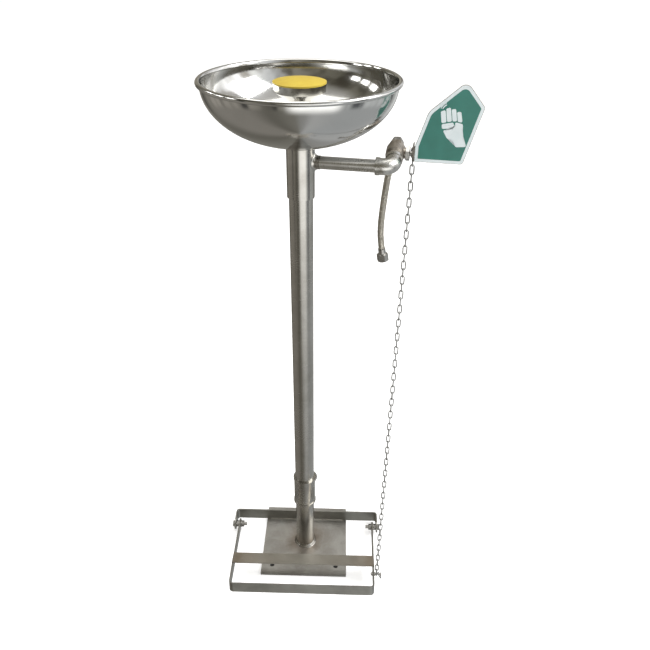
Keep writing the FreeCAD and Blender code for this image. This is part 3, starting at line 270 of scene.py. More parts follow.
def heatTint(recipe, shade):
    # Straw and brown colors where the tread was welded onto the arms
    across = recipe.apart(recipe.place())[0]
    return heatBands(recipe, shade, recipe.math("ABSOLUTE", across), heatSet["tread"])


def footStain(recipe, shade):
    # Brown heat ring round the pole's weld, and grime over the whole plate
    distance = recipe.apart(recipe.around())[0]
    shade = heatBands(recipe, shade, distance, heatSet["foot"])
    blot = recipe.ramp(recipe.noise(recipe.place(), *blotSet["noise"]), blotSet["bands"])
    return recipe.mix(blotSet["share"], shade, blot, "MULTIPLY")


def makePolished(name, color, rough, ringScale, ringDepth):
    recipe = Recipe(name, color, 1.0, rough[0])
    ways = recipe.around()
    rings = recipe.noise(ways, ringScale, 3, 0.7)
    smear = recipe.noise(recipe.place(), 9, 4, 0.6, 1.0)
    shade = recipe.ramp(smear, [(0.3, tuple(c * 0.93 for c in color)), (0.7, color)])
    recipe.use("Base Color", shade)
    recipe.use("Roughness", recipe.ramp(recipe.mix(0.5, smear, rings), [(0.35, rough[0]), (0.7, rough[1])]))
    wave = recipe.bump(recipe.noise(recipe.place(), 16, 2), 0.0006, 0.25)
    recipe.use("Normal", recipe.bump(rings, ringDepth, 0.5, wave))
    return recipe.material


def makePlastic(name, color, second, rough, pits, coat=0.0):
    recipe = Recipe(name, color, 0.0, rough[0])
    recipe.set("Coat Weight", coat)
    recipe.set("Coat Roughness", 0.12)
    cloud = recipe.noise(recipe.place(), 40, 4)
    recipe.use("Base Color", recipe.ramp(cloud, [(0.3, second), (0.65, color)]))
    scuff = recipe.noise(recipe.place(scale=(1, 1.6, 1)), 140, 5, 0.7)
    recipe.use("Roughness", recipe.ramp(scuff, [(0.35, rough[0]), (0.7, rough[1])]))
    fine = recipe.noise(recipe.place(), 1500, 2)
    recipe.use("Normal", recipe.bump(fine, pits, 0.5))
    return recipe.material


def makeRubber():
    recipe = Recipe("sealRubber", (0.022, 0.022, 0.021), 0.0, 0.55)
    dust = recipe.noise(recipe.place(), 260, 5, 0.7)
    recipe.use("Base Color", recipe.ramp(dust, [(0.4, (0.018, 0.018, 0.017)), (0.75, (0.05, 0.048, 0.045))]))
    recipe.use("Normal", recipe.bump(dust, 0.0001, 0.5))
    return recipe.material


def makeScreen():
    recipe = Recipe("screenMesh", (0.75, 0.75, 0.72), 0.0, 0.6)
    holes = recipe.cells(recipe.place(), 900)
    recipe.use("Base Color", recipe.ramp(holes, [(0.15, (0.35, 0.35, 0.33)), (0.5, (0.82, 0.82, 0.79))]))
    recipe.use("Normal", recipe.bump(holes, 0.0004, 0.8))
    return recipe.material


tintOf = {"basePlate": footStain, "treadSteel": heatTint}
finishes = {name: makeMetal(name, tintOf.get(name)) for name in metalSet}
finishes.update({
    "spunBowl": makePolished("spunBowl", (0.60, 0.595, 0.575), (0.08, 0.17), 900, 0.00003),
    "chromedHead": makePolished("chromedHead", (0.46, 0.45, 0.415), (0.08, 0.18), 1400, 0.00001),
    "yellowCap": makePlastic("yellowCap", (0.62, 0.465, 0.050), (0.56, 0.40, 0.040), (0.38, 0.52), 0.00004),
    "whitePlastic": makePlastic("whitePlastic", (0.80, 0.80, 0.77), (0.72, 0.72, 0.69), (0.35, 0.5), 0.00004),
    "signGreen": makePlastic("signGreen", (0.026, 0.185, 0.145), (0.021, 0.160, 0.125),
                             (0.32, 0.45), 0.00003, 0.1),
    "signWhite": makePlastic("signWhite", (0.74, 0.80, 0.82), (0.66, 0.74, 0.76), (0.32, 0.45), 0.00003, 0.1),
    "sealRubber": makeRubber(),
    "screenMesh": makeScreen(),
})

finishOfNode = {
    "satinPipe": ["stub_pipe", "drain_tee", "main_pipe", "inlet_tee", "riser_pipe", "bowl_collar"],
    "brushedArm": ["inlet_arm"],
    "basePlate": ["base_plate"],
    "rolledBar": ["pivot_bracket", "treadle_frame"],
    "treadSteel": ["tread_bar"],
    "spunBowl": ["bowl", "drain_flange"],
    "chromedHead": ["spray_housing", "nozzle_ring", "nozzle_plate", "valve_ball"],
    "elbowSteel": ["arm_elbow"],
    "castSteel": ["inner_elbow", "valve_body", "valve_cap"],
    "turnedSteel": ["valve_stem", "gland_nut", "handle_washer", "handle_nut", "push_flag", "pivot_bolts",
                    "pivot_lock_nuts", "pivot_washers", "pivot_end_nuts", "chain_bolt", "chain_nuts",
                    "upper_hose_nut", "upper_hose_tail", "upper_ferrule", "lower_ferrule", "lower_hose_nut"],
    "galvanised": ["chain", "chain_tail"],
    "sealRubber": ["bowl_gaskets", "nozzle_gasket", "hose_washer"],
    "whitePlastic": ["ball_seats", "stem_packing"],
    "screenMesh": ["aerator_screen"],
    "yellowCap": ["dust_cover"],
    "signGreen": ["flag_label"],
}


def finishNodes():
    for finish, names in finishOfNode.items():
        for name in names:
            for holder in frame["nodes"][name].material_slots:
                holder.material = finishes[finish]


# Meshes

def addPiece(name, mesh, body, materials=(), smooth=True):
    for material in materials:
        mesh.materials.append(finishes[material])
    if smooth:
        mesh.shade_smooth()
    else:
        mesh.shade_flat()
    piece = bpy.data.objects.new(name, mesh)
    bpy.context.scene.collection.objects.link(piece)
    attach(piece, body)
    return piece


def meshFrom(name, bm, merge=1e-6):
    bmesh.ops.remove_doubles(bm, verts=bm.verts[:], dist=merge)
    bmesh.ops.recalc_face_normals(bm, faces=bm.faces[:])
    mesh = bpy.data.meshes.new(name)
    bm.to_mesh(mesh)
    bm.free()
    return mesh


def spun(name, profile, steps):
    # A closed outline of (radius, height) turned round the upright axis
    bm = bmesh.new()
    angles = [2 * math.pi * step / steps for step in range(steps)]
    rings = [[bm.verts.new((r * math.cos(a), r * math.sin(a), z)) for a in angles] for r, z in profile]
    for ring, after in zip(rings, rings[1:] + rings[:1]):
        for step in range(steps):
            other = (step + 1) % steps
            bm.faces.new((ring[step], ring[other], after[other], after[step]))
    return meshFrom(name, bm)


# Hose: a dark core with a steel braid over it

hoseSet = {"diameter": 12.4, "core": 5.75, "crown": 0.22, "weave": 0.20, "strands": 14, "lay": 30.0,
           "width": 2.05, "sink": 0.08, "under": 0.1, "crossingSteps": 3}
hosePoints = [(0.160163, 0.071993, 0.943803), (0.155101, 0.078739, 0.916057), (0.1509, 0.0842, 0.874),
              (0.1477, 0.086, 0.832), (0.1464, 0.0862, 0.806), (0.147, 0.086, 0.781), (0.1507, 0.0856, 0.757)]


def hoseCurve(name, radius):
    data = bpy.data.curves.new(name, "CURVE")
    data.dimensions = "3D"
    spline = data.splines.new("NURBS")
    spline.points.add(len(hosePoints) - 1)
    for point, place in zip(spline.points, hosePoints):
        point.co = (*place, 1)
    spline.order_u = 3
    spline.use_endpoint_u = True
    data.resolution_u = 24
    data.bevel_depth = radius
    data.bevel_resolution = 5
    curve = bpy.data.objects.new(name, data)
    bpy.context.scene.collection.objects.link(curve)
    return curve


def linePoints(curve):
    # The points of the curve's own line, read with no bevel
    radius = curve.data.bevel_depth
    curve.data.bevel_depth = 0
    bpy.context.view_layer.update()
    graph = bpy.context.evaluated_depsgraph_get()
    line = bpy.data.meshes.new_from_object(curve.evaluated_get(graph))
    curve.data.bevel_depth = radius
    points = [vertex.co.copy() for vertex in line.vertices]
    bpy.data.meshes.remove(line)
    return points


def alongLine(points, spacing):
    # Even steps along a line, each with its place, its heading and two sides that don't twist
    lengths = [0.0]
    for before, after in zip(points, points[1:]):
        lengths.append(lengths[-1] + (after - before).length)
    steps = round(lengths[-1] / spacing)
    places = []
    piece = 0
    for step in range(steps + 1):
        reach = lengths[-1] * step / steps
        while piece < len(points) - 2 and lengths[piece + 1] < reach:
            piece += 1
        share = (reach - lengths[piece]) / (lengths[piece + 1] - lengths[piece])
        places.append(points[piece].lerp(points[piece + 1], share))
    side = Vector((1, 0, 0))
    frames = []
    for step, place in enumerate(places):
        heading = (places[min(step + 1, steps)] - places[max(step - 1, 0)]).normalized()
        side = (side - heading * side.dot(heading)).normalized()
        frames.append((place, heading, side, heading.cross(side), lengths[-1] * step / steps))
    return frames


def braidMesh(points):
    # Flat strands wound both ways, each over one crossing and under the next
    count = hoseSet["strands"]
    lay = hoseSet["lay"] * mm
    crown = hoseSet["crown"] * mm
    frames = alongLine(points, lay / count / hoseSet["crossingSteps"])
    middle = hoseSet["diameter"] / 2 * mm - crown
    bm = bmesh.new()
    for way in (-1, 1):
        slope = 2 * math.pi * middle / lay * way
        for strand in range(count):
            rows = []
            for place, heading, side, third, reach in frames:
                angle = way * 2 * math.pi * reach / lay + 2 * math.pi * strand / count
                crossing = 2 * reach / lay * count + strand * way
                over = way * math.sin(math.pi * (crossing / 2 + 0.25))
                radius = middle + over * hoseSet["weave"] * mm - hoseSet["sink"] * mm
                out = side * math.cos(angle) + third * math.sin(angle)
                run = (heading + heading.cross(out) * slope).normalized()
                width = run.cross(out) * (hoseSet["width"] / 2 * mm)
                centre = place + out * radius
                rows.append([bm.verts.new(centre + offset) for offset in (
                    -width, out * crown, width, -out * (hoseSet["under"] * mm))])
            for row, after in zip(rows, rows[1:]):
                for corner in range(4):
                    other = (corner + 1) % 4
                    bm.faces.new((row[corner], row[other], after[other], after[corner]))
            bm.faces.new(rows[0])
            bm.faces.new(rows[-1])
    return meshFrom("hose_braid", bm)


def makeBraidFinish():
    recipe = Recipe("braidWire", (0.56, 0.53, 0.46), 1.0, 0.3)
    worn = recipe.noise(recipe.place(), 90, 5, 0.7)
    fine = recipe.noise(recipe.place(), 2400, 3)
    shade = recipe.ramp(worn, [(0.3, (0.40, 0.37, 0.31)), (0.65, (0.64, 0.61, 0.54))])
    dark = recipe.ramp(fine, [(0.3, 0.6), (0.7, 1.0)])
    recipe.use("Base Color", recipe.mix(0.3, shade, dark, "MULTIPLY"))
    recipe.use("Roughness", recipe.ramp(fine, [(0.3, 0.24), (0.7, 0.42)]))
    recipe.use("Normal", recipe.bump(fine, 0.0002, 0.5))
    return recipe.material


def makeHose():
    finishes["braidWire"] = makeBraidFinish()
    core = hoseCurve("hose_core", hoseSet["core"] * mm)
    core.data.use_fill_caps = True
    core.data.materials.append(finishes["sealRubber"])
    points = linePoints(core)
    length = sum((after - before).length for before, after in zip(points, points[1:]))
    braid = addPiece("hose_braid", braidMesh(points), "stand", ["braidWire"])
    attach(core, "stand")
    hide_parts("hose")
    print("hose", round(length, 4), "m, braid faces", len(braid.data.polygons))


# Geometry Nodes

class GeometryMaker(NodeMaker):
    # A geometry node group with named inputs, run on a mesh to give a plain mesh
    def __init__(self, name, inputs):
        super().__init__(bpy.data.node_groups.new(name, "GeometryNodeTree"))
        self.tree.interface.new_socket("Geometry", in_out="INPUT", socket_type="NodeSocketGeometry")
        for label, kind in inputs:
            self.tree.interface.new_socket(label, in_out="INPUT", socket_type="NodeSocket" + kind)
        self.tree.interface.new_socket("Geometry", in_out="OUTPUT", socket_type="NodeSocketGeometry")
        self.entry = self.tree.nodes.new("NodeGroupInput")
        self.exit = self.tree.nodes.new("NodeGroupOutput")

    def node(self, kind, links=(), values=(), **settings):
        made = super().node(kind, **settings)
        for socket, value in dict(values).items():
            made.inputs[socket].default_value = value
        for socket, source in dict(links).items():
            self.link(source, made.inputs[socket])
        return made

    def asked(self, label):
        return self.entry.outputs[label]

    def vary(self, low, high, seed):
        # A random number for each copy
        made = self.node("FunctionNodeRandomValue", {"Seed": seed}, data_type="FLOAT")
        floats = [socket for socket in made.inputs if socket.type == "VALUE"]
        self.feed(low, floats[0])
        self.feed(high, floats[1])
        return [socket for socket in made.outputs if socket.type == "VALUE"][0]

    def finish(self, geometry, material):
        real = self.node("GeometryNodeRealizeInstances", {"Geometry": geometry})
        shaded = self.node("GeometryNodeSetShadeSmooth", {"Geometry": real.outputs[0]})
        coated = self.node("GeometryNodeSetMaterial", {"Geometry": shaded.outputs[0]})
        coated.inputs["Material"].default_value = material
        self.link(coated.outputs[0], self.exit.inputs[0])

    def made(self, name, values, source=None):
        # Runs the group on a source mesh and returns the plain mesh it gives
        holder = bpy.data.objects.new(name + "_maker", source or bpy.data.meshes.new(name + "_seed"))
        bpy.context.scene.collection.objects.link(holder)
        modifier = holder.modifiers.new("maker", "NODES")
        modifier.node_group = self.tree
        for item in self.tree.interface.items_tree:
            if item.in_out == "INPUT" and item.name in values:
                modifier[item.identifier] = values[item.name]
        bpy.context.view_layer.update()
        graph = bpy.context.evaluated_depsgraph_get()
        mesh = bpy.data.meshes.new_from_object(holder.evaluated_get(graph))
        mesh.name = name
        bpy.data.objects.remove(holder)
        return mesh


# Chain: links on a line, every other one turned a quarter

chainSet = {"links": 66, "wire": 2.5, "innerWidth": 4.5, "slack": 0.15,
            "hookBack": 12.6405, "hookUp": 6.8846,  # in the flag's tab, from the valve's stem
            "sway": 5.0, "seed": 4, "bendSteps": 22, "wireSteps": 8}


def linkShape(tree):
    # A ring parted at its middle, with a round wire run along it
    asked = tree.asked
    ring = tree.node("GeometryNodeCurvePrimitiveCircle", {"Radius": asked("Bend radius")},
                     {"Resolution": chainSet["bendSteps"]})
    ring = tree.node("GeometryNodeTransform", {"Geometry": ring.outputs["Curve"]},
                     {"Rotation": (math.radians(90), 0, 0)})
    place = tree.node("ShaderNodeSeparateXYZ", {0: tree.node("GeometryNodeInputPosition").outputs[0]})
    height = place.outputs["Z"]
    reach = tree.math("MULTIPLY", tree.math("SIGN", height), tree.math("MULTIPLY", asked("Straight"), 0.5))
    offset = tree.node("ShaderNodeCombineXYZ", {"Z": reach})
    ends = tree.math("GREATER_THAN", tree.math("ABSOLUTE", height), 1e-6)
    loop = tree.node("GeometryNodeSetPosition", {"Geometry": ring.outputs[0], "Offset": offset.outputs[0],
                                                 "Selection": ends})
    wire = tree.node("GeometryNodeCurvePrimitiveCircle", {"Radius": asked("Wire radius")},
                     {"Resolution": chainSet["wireSteps"]})
    return tree.node("GeometryNodeCurveToMesh", {"Curve": loop.outputs[0],
                                                 "Profile Curve": wire.outputs["Curve"]})


def chainTree():
    tree = GeometryMaker("chainMaker", [
        ("Links", "Int"), ("Straight", "Float"), ("Pitch", "Float"), ("Wire radius", "Float"),
        ("Bend radius", "Float"), ("Twist", "Float"), ("Sway", "Float"), ("Seed", "Int"),
        ("Foot", "Vector"), ("Turn", "Vector")])
    asked = tree.asked
    link = linkShape(tree)
    start = tree.node("ShaderNodeCombineXYZ", {"Z": tree.math("MULTIPLY", asked("Straight"), 0.5)})
    step = tree.node("ShaderNodeCombineXYZ", {"Z": asked("Pitch")})
    line = tree.node("GeometryNodeMeshLine", {"Count": asked("Links"), "Start Location": start.outputs[0],
                                              "Offset": step.outputs[0]})
    index = tree.node("GeometryNodeInputIndex").outputs[0]
    share = tree.math("DIVIDE", index, tree.math("SUBTRACT", asked("Links"), 1))
    turn = tree.math("ADD", tree.math("MULTIPLY", index, math.pi / 2),
                     tree.math("MULTIPLY", share, asked("Twist")))
    swing = tree.vary(tree.math("MULTIPLY", asked("Sway"), -1), asked("Sway"), asked("Seed"))
    turn = tree.math("ADD", tree.math("ADD", turn, math.pi / 2), swing)
    angles = tree.node("ShaderNodeCombineXYZ", {"Z": turn})
    links = tree.node("GeometryNodeInstanceOnPoints", {
        "Points": line.outputs[0], "Instance": link.outputs[0], "Rotation": angles.outputs[0]})
    placed = tree.node("GeometryNodeTransform", {
        "Geometry": links.outputs[0], "Translation": asked("Foot"), "Rotation": asked("Turn")})
    tree.finish(placed.outputs[0], finishes["galvanised"])
    return tree


def makeChain():
    hook = stemPoint + (headBack * chainSet["hookBack"] + zAxis * chainSet["hookUp"]) * mm
    line = hook - chainFoot
    way = line.normalized()
    side = (Vector((1, 0, 0)) - way * way.x).normalized()
    headWay = (headSide - way * headSide.dot(way)).normalized()
    twist = math.atan2(way.dot(side.cross(headWay)), side.dot(headWay))
    turn = Matrix((side, way.cross(side), way)).transposed().to_euler()
    links = chainSet["links"]
    bend = (chainSet["innerWidth"] + chainSet["wire"]) / 2 * mm
    nest = (chainSet["innerWidth"] - chainSet["slack"]) * mm
    straight = (line.length - bend - (links - 1) * nest) / links
    mesh = chainTree().made("chain_links", {
        "Links": links, "Straight": straight, "Pitch": straight + nest,
        "Wire radius": chainSet["wire"] / 2 * mm, "Bend radius": bend, "Twist": twist,
        "Sway": math.radians(chainSet["sway"]), "Seed": chainSet["seed"],
        "Foot": tuple(chainFoot), "Turn": tuple(turn)})
    chain = addPiece("chain_links", mesh, "chain_run")
    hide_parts("chain")


# Weld beads: overlapping ripples along a path

weldSet = {"footRadius": 23.6, "footHeight": 8.4, "spacing": 1.9, "length": 2.6, "width": 2.8, "height": 1.2,
           "vary": (0.82, 1.12), "bracketHalf": 92.0, "bracketY": 64.0, "barFace": 1.5, "bracketWidth": 2.4,
           "beside": 1.0, "above": 1.0, "bracketSteps": 60, "seed": 11}


def weldTree():
    tree = GeometryMaker("weldMaker", [("Spacing", "Float"), ("Length", "Float"), ("Width", "Float"),
                                       ("Height", "Float"), ("Seed", "Int")])
    asked = tree.asked
    path = tree.node("GeometryNodeMeshToCurve", {"Mesh": asked("Geometry")})
    points = tree.node("GeometryNodeCurveToPoints", {"Curve": path.outputs[0], "Length": asked("Spacing")},
                       mode="LENGTH")
    drop = tree.node("GeometryNodeMeshUVSphere", values={"Segments": 10, "Rings": 6, "Radius": 1.0})
    vary = tree.vary(*weldSet["vary"], asked("Seed"))
    size = tree.node("ShaderNodeCombineXYZ", {
        "X": tree.math("MULTIPLY", asked("Height"), vary),
        "Y": tree.math("MULTIPLY", asked("Width"), vary), "Z": asked("Length")})
    beads = tree.node("GeometryNodeInstanceOnPoints", {
        "Points": points.outputs["Points"], "Instance": drop.outputs["Mesh"],
        "Rotation": points.outputs["Rotation"], "Scale": size.outputs[0]})
    tree.finish(beads.outputs[0], finishes["weldBead"])
    return tree


def pathMesh(name, runs, closed=False):
    mesh = bpy.data.meshes.new(name)
    places, edges = [], []
    for run in runs:
        first = len(places)
        places += [tuple(place) for place in run]
        edges += [(first + step, first + step + 1) for step in range(len(run) - 1)]
        if closed:
            edges.append((len(places) - 1, first))
    mesh.from_pydata(places, edges, [])
    return mesh


def makeWelds():
    tree = weldTree()
    radius = weldSet["footRadius"] * mm
    height = weldSet["footHeight"] * mm
    angles = [math.radians(angle) for angle in range(0, 360, 3)]
    circle = [(radius * math.cos(a), radius * math.sin(a), height) for a in angles]
    sizes = {"Spacing": weldSet["spacing"] * mm, "Length": weldSet["length"] / 2 * mm,
             "Width": weldSet["width"] / 2 * mm, "Height": weldSet["height"] / 2 * mm,
             "Seed": weldSet["seed"]}
    mesh = tree.made("foot_weld", sizes, pathMesh("foot_path", [circle], closed=True))
    addPiece("foot_weld", mesh, "stand")
    half = weldSet["bracketHalf"] * mm
    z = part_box("base_plate")[1].z + weldSet["above"] * mm
    steps = weldSet["bracketSteps"]
    runs = []
    for side in (-1, 1):
        y = (weldSet["bracketY"] + side * (weldSet["barFace"] + weldSet["beside"])) * mm
        runs.append([(-half + 2 * half * step / steps, y, z) for step in range(steps + 1)])
    sizes = dict(sizes, Width=weldSet["bracketWidth"] / 2 * mm, Seed=weldSet["seed"] + 1)
    mesh = tree.made("bracket_weld", sizes, pathMesh("bracket_path", runs))
    addPiece("bracket_weld", mesh, "stand")
    print("welds made")


# Bowl: spun sheet with a rolled rim

bowlSet = {"radius": 156.7, "height": 97.0, "lip": 1082.5, "sheet": 1.2, "bead": 4.0, "overhang": 5.8,
           "beadRise": 3.2, "hole": 19.25, "floor": 988.0945, "neck": (-1.2, 0.2), "rollFrom": -112.0,
           "tuck": 0.15, "seam": 0.55, "steps": 192, "curve": 44, "rollSteps": 32}


def ellipseRun(radius, height, floor, count):
    # From the flat floor's edge up to the lip
    lip = bowlSet["lip"]
    start = math.asin((lip - floor) / height)
    run = []
    for step in range(count + 1):
        angle = start * (1 - step / count)
        run.append((radius * math.cos(angle), lip - height * math.sin(angle)))
    return run


def makeBowl():
    radius, sheet, bead, lip = bowlSet["radius"], bowlSet["sheet"], bowlSet["bead"], bowlSet["lip"]
    beadX = radius + bowlSet["overhang"] - bead
    beadZ = lip + bowlSet["beadRise"]
    outer = ellipseRun(radius, bowlSet["height"], bowlSet["floor"], bowlSet["curve"])
    inner = ellipseRun(radius - sheet, bowlSet["height"] - sheet, bowlSet["floor"] + sheet, bowlSet["curve"])
    start = bowlSet["rollFrom"]
    end = math.degrees(math.acos((radius - sheet - beadX) / bead))
    roll = []
    for step in range(bowlSet["rollSteps"] + 1):
        angle = math.radians(start + (end - start) * step / bowlSet["rollSteps"])
        roll.append((beadX + bead * math.cos(angle), beadZ + bead * math.sin(angle)))
    edge = (roll[0][0] - bowlSet["tuck"], roll[0][1] + bowlSet["seam"])  # the sheet's edge, under the roll
    profile = [(bowlSet["hole"], bowlSet["floor"])] + outer[:-1]
    profile += [(radius, lip + rise) for rise in bowlSet["neck"]] + [edge] + roll
    profile += inner[::-1] + [(bowlSet["hole"], bowlSet["floor"] + sheet)]
    mesh = spun("bowl_shell", [(r * mm, z * mm) for r, z in profile], bowlSet["steps"])
    bowl = addPiece("bowl_shell", mesh, "stand", ["spunBowl"])
    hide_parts("bowl")
    print("bowl faces", len(mesh.polygons))


# Sign on the flag: white sheet, green field, a plain fist and two strokes

signSet = {
    "corners": [(4.0, -7.4), (4.0, 19.5), (21.0, 74.5), (76.2, 123.5), (108.4, 85.2), (83.6, -7.4)],
    "radii": [1.5, 10.0, 24.0, 12.0, 6.0, 6.0], "forward": 19.4, "tabMiddle": 1.0,
    "sheetInset": 0.8, "fieldInset": 5.6, "sheetTop": 0.26, "fieldTop": 0.32, "handTop": 0.38,
    "handMiddle": (62.0, 50.0), "handTurn": 9.0, "handGrow": 1.05, "handRadius": 2.2,
    "sheetBack": 0.0, "fieldBack": 0.1, "handBack": 0.2, "cornerShrink": 0.55, "leastRadius": 1.2,
}
fistShapes = [
    [(45.2, 60.5), (45.2, 78.0), (52.4, 79.8), (52.6, 61.0)],  # four knuckles
    [(53.6, 61.2), (53.4, 81.2), (60.4, 82.6), (60.8, 61.6)],
    [(61.8, 61.6), (61.4, 79.4), (68.0, 79.6), (68.6, 60.6)],
    [(69.6, 60.2), (69.0, 74.8), (75.4, 74.2), (76.6, 57.6)],
    [(45.4, 51.8), (45.2, 59.0), (62.8, 59.8), (64.0, 55.2), (60.6, 51.2)],  # thumb
    [(46.4, 49.8), (61.2, 49.4), (65.8, 54.6), (64.8, 60.4), (77.0, 55.6), (76.2, 40.0), (80.6, 20.4),
     (64.6, 21.6), (60.6, 32.6), (51.6, 37.2)],  # palm and wrist
]
strokeSet = {"centre": (50.4, 79.6), "radii": (7.6, 10.6), "from": 104, "to": 172, "width": 1.3, "steps": 12}


def roundedOutline(corners, radii, steps=10):
    # Corners replaced by arcs, as points
    points = []
    count = len(corners)
    for index, corner in enumerate(corners):
        here = Vector(corner)
        back = (Vector(corners[index - 1]) - here).normalized()
        ahead = (Vector(corners[(index + 1) % count]) - here).normalized()
        half = back.angle(ahead) / 2
        radius = radii[index]
        reach = radius / math.tan(half)
        centre = here + (back + ahead).normalized() * (radius / math.sin(half))
        first = here + back * reach - centre
        last = here + ahead * reach - centre
        sweep = first.angle_signed(last)
        for step in range(steps + 1):
            arm = first.copy()
            arm.rotate(Matrix.Rotation(-sweep * step / steps, 2))
            points.append(centre + arm)
    return points


def insetCorners(corners, inset):
    # A convex outline moved inwards by the same distance on every side
    count = len(corners)
    middle = sum((Vector(corner) for corner in corners), Vector((0, 0))) / count
    lines = []
    for index in range(count):
        start, end = Vector(corners[index]), Vector(corners[(index + 1) % count])
        normal = Vector((-(end - start).y, (end - start).x)).normalized()
        if normal.dot(middle - start) < 0:
            normal = -normal
        lines.append((start + normal * inset, (end - start).normalized()))
    moved = []
    for index in range(count):
        (p, d), (q, e) = lines[index - 1], lines[index]
        cross = d.x * e.y - d.y * e.x
        share = ((q - p).x * e.y - (q - p).y * e.x) / cross
        moved.append(tuple(p + d * share))
    return moved


def signPlace(x, depth, z):
    # Millimetres on the flag's face to a place in the frame, depth towards the user
    side = headSide * ((x - signSet["tabMiddle"]) * mm)
    return stemPoint + side - headBack * ((signSet["forward"] + depth) * mm) + zAxis * (z * mm)


def addSheet(bm, outline, back, front, index):
    rear = [bm.verts.new(signPlace(p.x, back, p.y)) for p in outline]
    face = [bm.verts.new(signPlace(p.x, front, p.y)) for p in outline]
    made = [bm.faces.new(face), bm.faces.new(rear)]
    for step in range(len(outline)):
        other = (step + 1) % len(outline)
        made.append(bm.faces.new((face[step], face[other], rear[other], rear[step])))
    for item in made:
        item.material_index = index


def strokeOutline(radius):
    # A curved bar, out along its far side and back along its near one
    centre = Vector(strokeSet["centre"])
    start, end, steps = strokeSet["from"], strokeSet["to"], strokeSet["steps"]
    angles = [math.radians(start + (end - start) * step / steps) for step in range(steps + 1)]
    outline = []
    for way, run in ((1, angles), (-1, angles[::-1])):
        arm = radius + way * strokeSet["width"] / 2
        outline += [centre + Vector((math.cos(a), math.sin(a))) * arm for a in run]
    return outline


def makeSign():
    bm = bmesh.new()
    for index, layer in enumerate(("sheet", "field")):
        inset = signSet[layer + "Inset"]
        shrink = inset * signSet["cornerShrink"]
        radii = [max(radius - shrink, signSet["leastRadius"]) for radius in signSet["radii"]]
        outline = roundedOutline(insetCorners(signSet["corners"], inset), radii)
        addSheet(bm, outline, signSet[layer + "Back"], signSet[layer + "Top"], index)
    middle = Vector(signSet["handMiddle"])
    turn = Matrix.Rotation(math.radians(signSet["handTurn"]), 2) * signSet["handGrow"]
    marks = []
    for shape in fistShapes:
        turned = [middle + turn @ (Vector(corner) - middle) for corner in shape]
        marks.append(roundedOutline(turned, [signSet["handRadius"]] * len(turned), 6))
    marks += [strokeOutline(radius) for radius in strokeSet["radii"]]
    for outline in marks:
        addSheet(bm, outline, signSet["handBack"], signSet["handTop"], 0)
    bmesh.ops.triangulate(bm, faces=[face for face in bm.faces if len(face.verts) > 4])
    mesh = meshFrom("flag_sign", bm)
    sign = addPiece("flag_sign", mesh, "handle", ["signWhite", "signGreen"], smooth=False)
    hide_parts("flag_label")
    print("sign faces", len(mesh.polygons))


# Stage

# An evenly pale, glowing floor, with a painted shadow as a dark unlit square under the plate
floorSet = {"size": 60.0, "color": (0.92, 0.92, 0.92), "shades": [(0.3, 0.93), (0.7, 0.96)], "glow": 0.52,
            "plateShadowReach": 0.097, "plateShadowColor": (0.05, 0.05, 0.05)}


def makeFloor():
    half = floorSet["size"] / 2
    mesh = bpy.data.meshes.new("floor")
    corners = [(-half, -half, 0), (half, -half, 0), (half, half, 0), (-half, half, 0)]
    mesh.from_pydata(corners, [], [(0, 1, 2, 3)])
    recipe = Recipe("paleFloor", floorSet["color"], 0.0, 0.9)
    recipe.set("Emission Color", (1, 1, 1, 1))
    x, y = recipe.apart(recipe.place())[:2]
    far = recipe.math("MAXIMUM", recipe.math("ABSOLUTE", x), recipe.math("ABSOLUTE", y))
    clearOfPlateShadow = recipe.math("GREATER_THAN", far, floorSet["plateShadowReach"])  # painted shadow under the plate: no glow and a near-black colour, seen through its anchor holes
    recipe.use("Emission Strength", recipe.math("MULTIPLY", clearOfPlateShadow, floorSet["glow"]))
    pale = recipe.ramp(recipe.noise(recipe.place(), 1.5, 2), floorSet["shades"])
    recipe.use("Base Color", recipe.mix(clearOfPlateShadow, floorSet["plateShadowColor"], pale))
    mesh.materials.append(recipe.material)
    floor = bpy.data.objects.new("floor", mesh)
    bpy.context.scene.collection.objects.link(floor)
    floor.visible_glossy = False  # the steel mirrors the dim room below, not the pale floor


roomSet = {
    "strength": 0.9, "backdrop": (1.12, 1.12, 1.12), "doorTurn": 20, "doorLight": (2.3, 2.3, 2.28),
    "ceiling": (0.75, 0.74, 0.72), "shapeScale": 3.6, "shapeShare": 0.85,
    "barScale": 1.6, "barStretch": (2.4, 2.4, 0.5),
}


